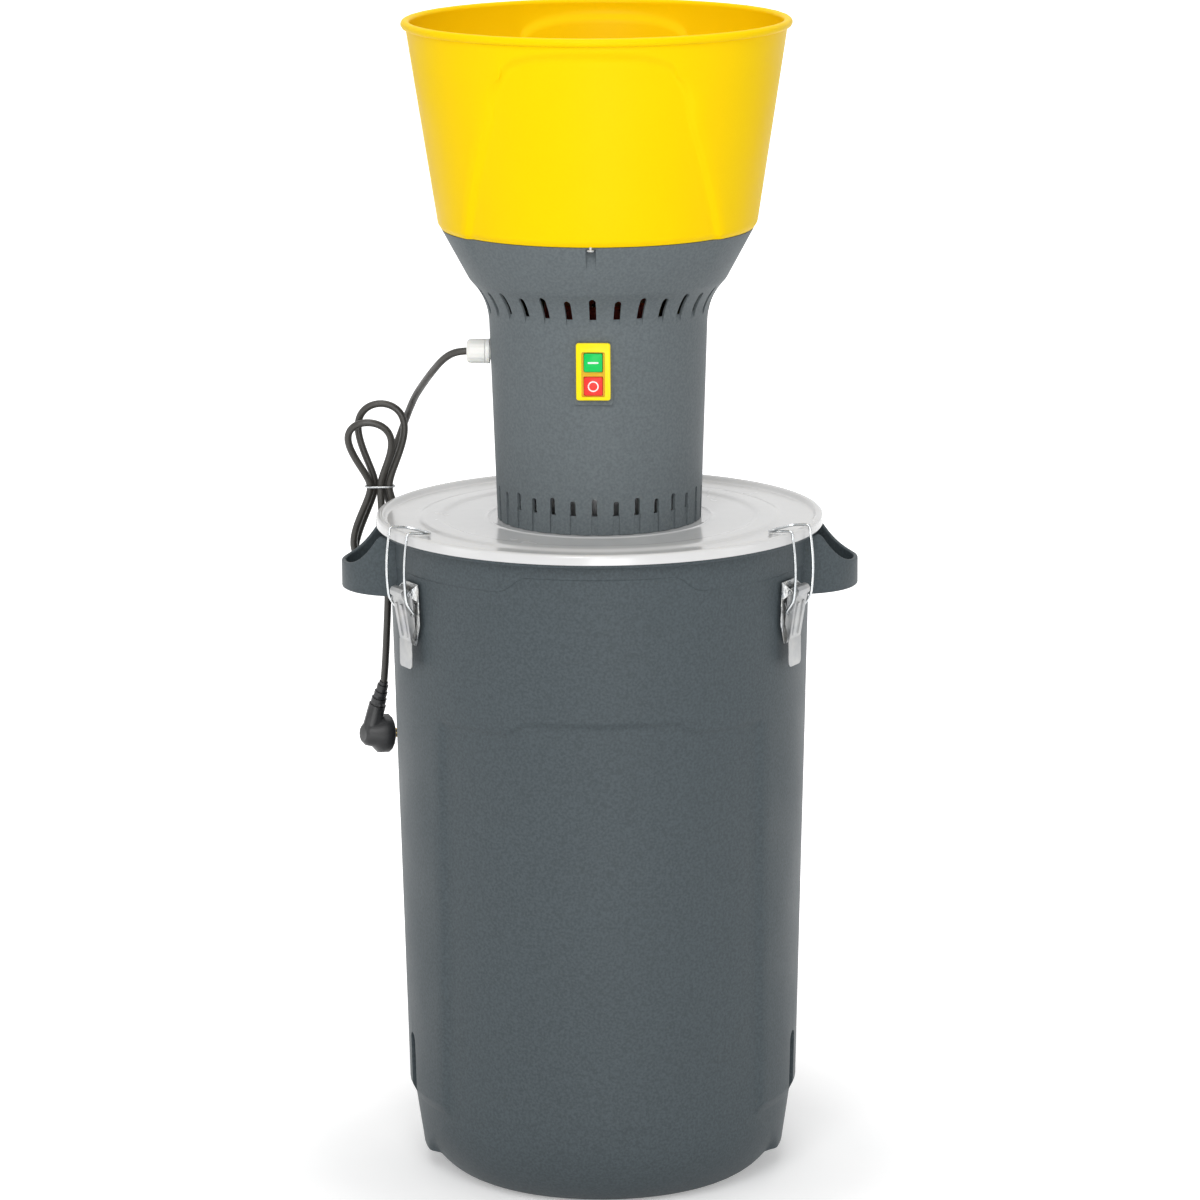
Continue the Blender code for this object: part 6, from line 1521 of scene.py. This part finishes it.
class CRUSHER_OT_switch(bpy.types.Operator):
    """Makes the switch plate, its two buttons and their marks"""

    bl_idname = "crusher.switch"
    bl_label = "Switch"

    def execute(self, context):
        turn = context.scene.crusher_head.turn
        plate = turned_by(self.plate(), turn)
        plate = piece("moulded_switch_plate", plate, "switch_yellow", "head", "switch_plate")
        # The second material is a deeper amber, painted shade in the sunk well round the buttons.
        plate.data.materials.append(switch_abs("switch_amber", *PLATE_WANDER))
        fine_copy("switch_body")
        for name in ("start_button", "stop_button"):
            fine_copy(name, 0.0007)
        outline = rounded_box(*BAR_HALF, 0.0004, SWITCH_HEIGHT + BUTTON_OFFSET)
        bar = slab(outline, -BUTTON_FACE - MARK_RELIEF, -BUTTON_FACE + 0.0002)
        piece("start_mark", turned_by(bar, turn), "white_plastic", "start_button")
        (inner, outer), low, high = STOP_RING, BUTTON_FACE - 0.0002, BUTTON_FACE + MARK_RELIEF
        section = [(inner, low), (outer, low), (outer, high), (inner, high), (inner, low)]
        ring = laid(spun(section, 48), QUARTER, "X", SWITCH_HEIGHT - BUTTON_OFFSET)
        piece("stop_mark", turned_by(ring, turn), "white_plastic", "stop_button")
        return {"FINISHED"}

    def plate(self):
        """The plate with its sunk well, whose faces take a second material of painted shade, and
        two windows.
        """
        outline = rounded_box(*PLATE_HALF, PLATE_CORNER, SWITCH_HEIGHT + PLATE_LIFT)
        plate = soften(slab(outline, -PLATE_FRONT, -PLATE_BACK), 0.0008)
        outline = rounded_box(*WELL_HALF, WELL_CORNER, SWITCH_HEIGHT)
        plate = carve(plate, slab(outline, -PLATE_FRONT - 0.002, -PLATE_FRONT + WELL_DEPTH))
        for side in (1, -1):
            half, middle = BUTTON_WINDOW_HALF, SWITCH_HEIGHT + side * BUTTON_OFFSET
            plate = carve(plate, slab(rounded_box(half, half, 0.0012, middle), -0.115, -0.1))
        # Faces in the sunk well take the second material, the deeper amber of painted shade.
        for face in plate.faces:
            x, y, z = face.calc_center_median()
            sunk = y > HAIR - PLATE_FRONT + MARK_RELIEF
            inside = abs(x) < WELL_HALF[0] + HAIR and abs(z - SWITCH_HEIGHT) < WELL_HALF[1] + HAIR
            face.material_index = int(sunk and inside)
        return plate


# Gland, latches, motor and mill


GLAND_CORE = 0.0039
GLAND_BARREL = 0.008
GLAND_OUTER = 0.0117
GLAND_START, GLAND_SEAT, GLAND_PARTING, GLAND_TIP = 0.0856, 0.1017, 0.1059, 0.1232
GLAND_RIBS = 16
GLAND_RIB_SHARE = 0.02
BAIL_FOOT, BAIL_TOP = 0.562, 0.631
BAIL_BOW = 0.003
STRAND_EDGE = 0.015


class CRUSHER_OT_gland(bpy.types.Operator):
    """Makes the cord gland with its ribbed dome nut"""

    bl_idname = "crusher.gland"
    bl_label = "Cord gland"

    def execute(self, context):
        core, outer, parting = GLAND_CORE, GLAND_OUTER, GLAND_PARTING
        nut = [
            (core, parting, 0),
            (outer, parting, 0.0004),
            (outer, GLAND_TIP, 0.006),
            (core, GLAND_TIP, 0.0012),
            (core, parting, 0),
        ]
        body = [
            (core, GLAND_START, 0),
            (GLAND_BARREL, GLAND_START, 0.0005),
            (GLAND_BARREL, GLAND_SEAT, 0),
            (outer, GLAND_SEAT, 0.0005),
            (outer, parting - HAIR, 0.0005),
            (core, parting - HAIR, 0),
            (core, GLAND_START, 0),
        ]
        dome, barrel = spun(rounded(nut, 6), 96), spun(rounded(body, 3), 48)
        for vert in dome.verts:
            if vert.co.xy.length > outer - 0.0006:
                rib = math.cos(GLAND_RIBS * math.atan2(vert.co.y, vert.co.x))
                vert.co.xy *= 1 - GLAND_RIB_SHARE * part_of(-rib, 0.2, 1)
        shapes = (("gland_dome_nut", dome, "gland_nut"), ("gland_barrel", barrel, "gland_body"))
        for name, shape, node in shapes:
            laid(shape, -QUARTER, "Y", GLAND_HEIGHT)
            turned_by(shape, context.scene.crusher_head.turn)
            piece(name, shape, "white_plastic", "head", node)
        fine_copy("gland_locknut", 0.0003)
        return {"FINISHED"}


class CRUSHER_OT_latches(bpy.types.Operator):
    """Makes both toggle latches"""

    bl_idname = "crusher.latches"
    bl_label = "Toggle latches"

    def execute(self, context):
        for side in ("left", "right"):
            for name in ("latch_plate", "latch_rivet", "latch_pin"):
                fine_copy(f"{side}_{name}", 0.0002)
            fine_copy(f"{side}_lever", 0.0002, finish=satin_zinc)
            self.bail(f"{side}_bail")
        return {"FINISHED"}

    def bail(self, node):
        """The wire bail: its two strands bow out a little between the lever and the lid."""
        bm = node_copy(node)
        long_edges = [edge for edge in bm.edges if edge.calc_length() > STRAND_EDGE]
        bmesh.ops.subdivide_edges(bm, edges=long_edges, cuts=12, use_grid_fill=True)
        for vert in bm.verts:
            swell = math.sin(math.pi * part_of(vert.co.z, BAIL_FOOT, BAIL_TOP))
            vert.co.xy += vert.co.xy.normalized() * BAIL_BOW * swell
        piece(f"bowed_{node}", bm, "steel", body_of(node), node, sharp=60, finish=bright_wire)


MOTOR_NODES = (
    "lower_bell",
    "lower_bearing",
    "stator",
    "lower_winding",
    "upper_winding",
    "motor_cover",
    "upper_bearing",
    "motor_shaft",
    "armature",
    "cooling_fan",
)


class CRUSHER_OT_motor(bpy.types.Operator):
    """Makes the motor behind the slots"""

    bl_idname = "crusher.motor"
    bl_label = "Motor"

    def execute(self, context):
        for name in MOTOR_NODES:
            fine_copy(name)
        return {"FINISHED"}


class CRUSHER_OT_mill(bpy.types.Operator):
    """Makes the mill under the lid"""

    bl_idname = "crusher.mill"
    bl_label = "Mill"

    def execute(self, context):
        for name in ("sieve_ring", "mill_cover", "mill_blade", "blade_nut"):
            fine_copy(name)
        for i in range(SCREWS):
            fine_copy(f"mill_stud_{i + 1}")
            fine_copy(f"wing_nut_{i + 1}", 0.0003)
        return {"FINISHED"}


class CRUSHER_PT_panel(bpy.types.Panel):
    """Lists the pieces in the order in which they are made"""

    bl_idname = "CRUSHER_PT_panel"
    bl_label = "Grain crusher"
    bl_space_type = "VIEW_3D"
    bl_region_type = "UI"
    bl_category = "Grain crusher"

    def draw(self, context):
        layout = self.layout
        for operator in OPERATORS:
            layout.operator(operator.bl_idname)
        for name, group in GROUPS.items():
            box = layout.box()
            box.label(text=group.__name__)
            for field in group.__annotations__:
                box.prop(getattr(context.scene, name), field)


GROUPS = {
    "crusher_stage": StageSettings,
    "crusher_bin": BinSizes,
    "crusher_lid": LidSizes,
    "crusher_head": HeadSizes,
    "crusher_hopper": HopperSizes,
    "crusher_cord": CordSizes,
    "crusher_colours": Colours,
}
OPERATORS = (
    CRUSHER_OT_stage,
    CRUSHER_OT_cord,
    CRUSHER_OT_bin,
    CRUSHER_OT_latches,
    CRUSHER_OT_lid,
    CRUSHER_OT_housing,
    CRUSHER_OT_switch,
    CRUSHER_OT_gland,
    CRUSHER_OT_hopper,
    CRUSHER_OT_motor,
    CRUSHER_OT_mill,
)


def register():
    for cls in (*GROUPS.values(), *OPERATORS, CRUSHER_PT_panel):
        bpy.utils.register_class(cls)
    for name, group in GROUPS.items():
        setattr(bpy.types.Scene, name, bpy.props.PointerProperty(type=group))


def unregister():
    for name in GROUPS:
        delattr(bpy.types.Scene, name)
    for cls in (CRUSHER_PT_panel, *reversed(OPERATORS), *reversed(list(GROUPS.values()))):
        bpy.utils.unregister_class(cls)


def main():
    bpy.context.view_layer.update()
    for obj in [o for o in bpy.data.objects if o.name in ("Cube", "Light", "Camera")]:
        bpy.data.objects.remove(obj)
    register()
    for operator in OPERATORS:
        group, name = operator.bl_idname.split(".")
        getattr(getattr(bpy.ops, group), name)()


if __name__ == "__main__":
    main()
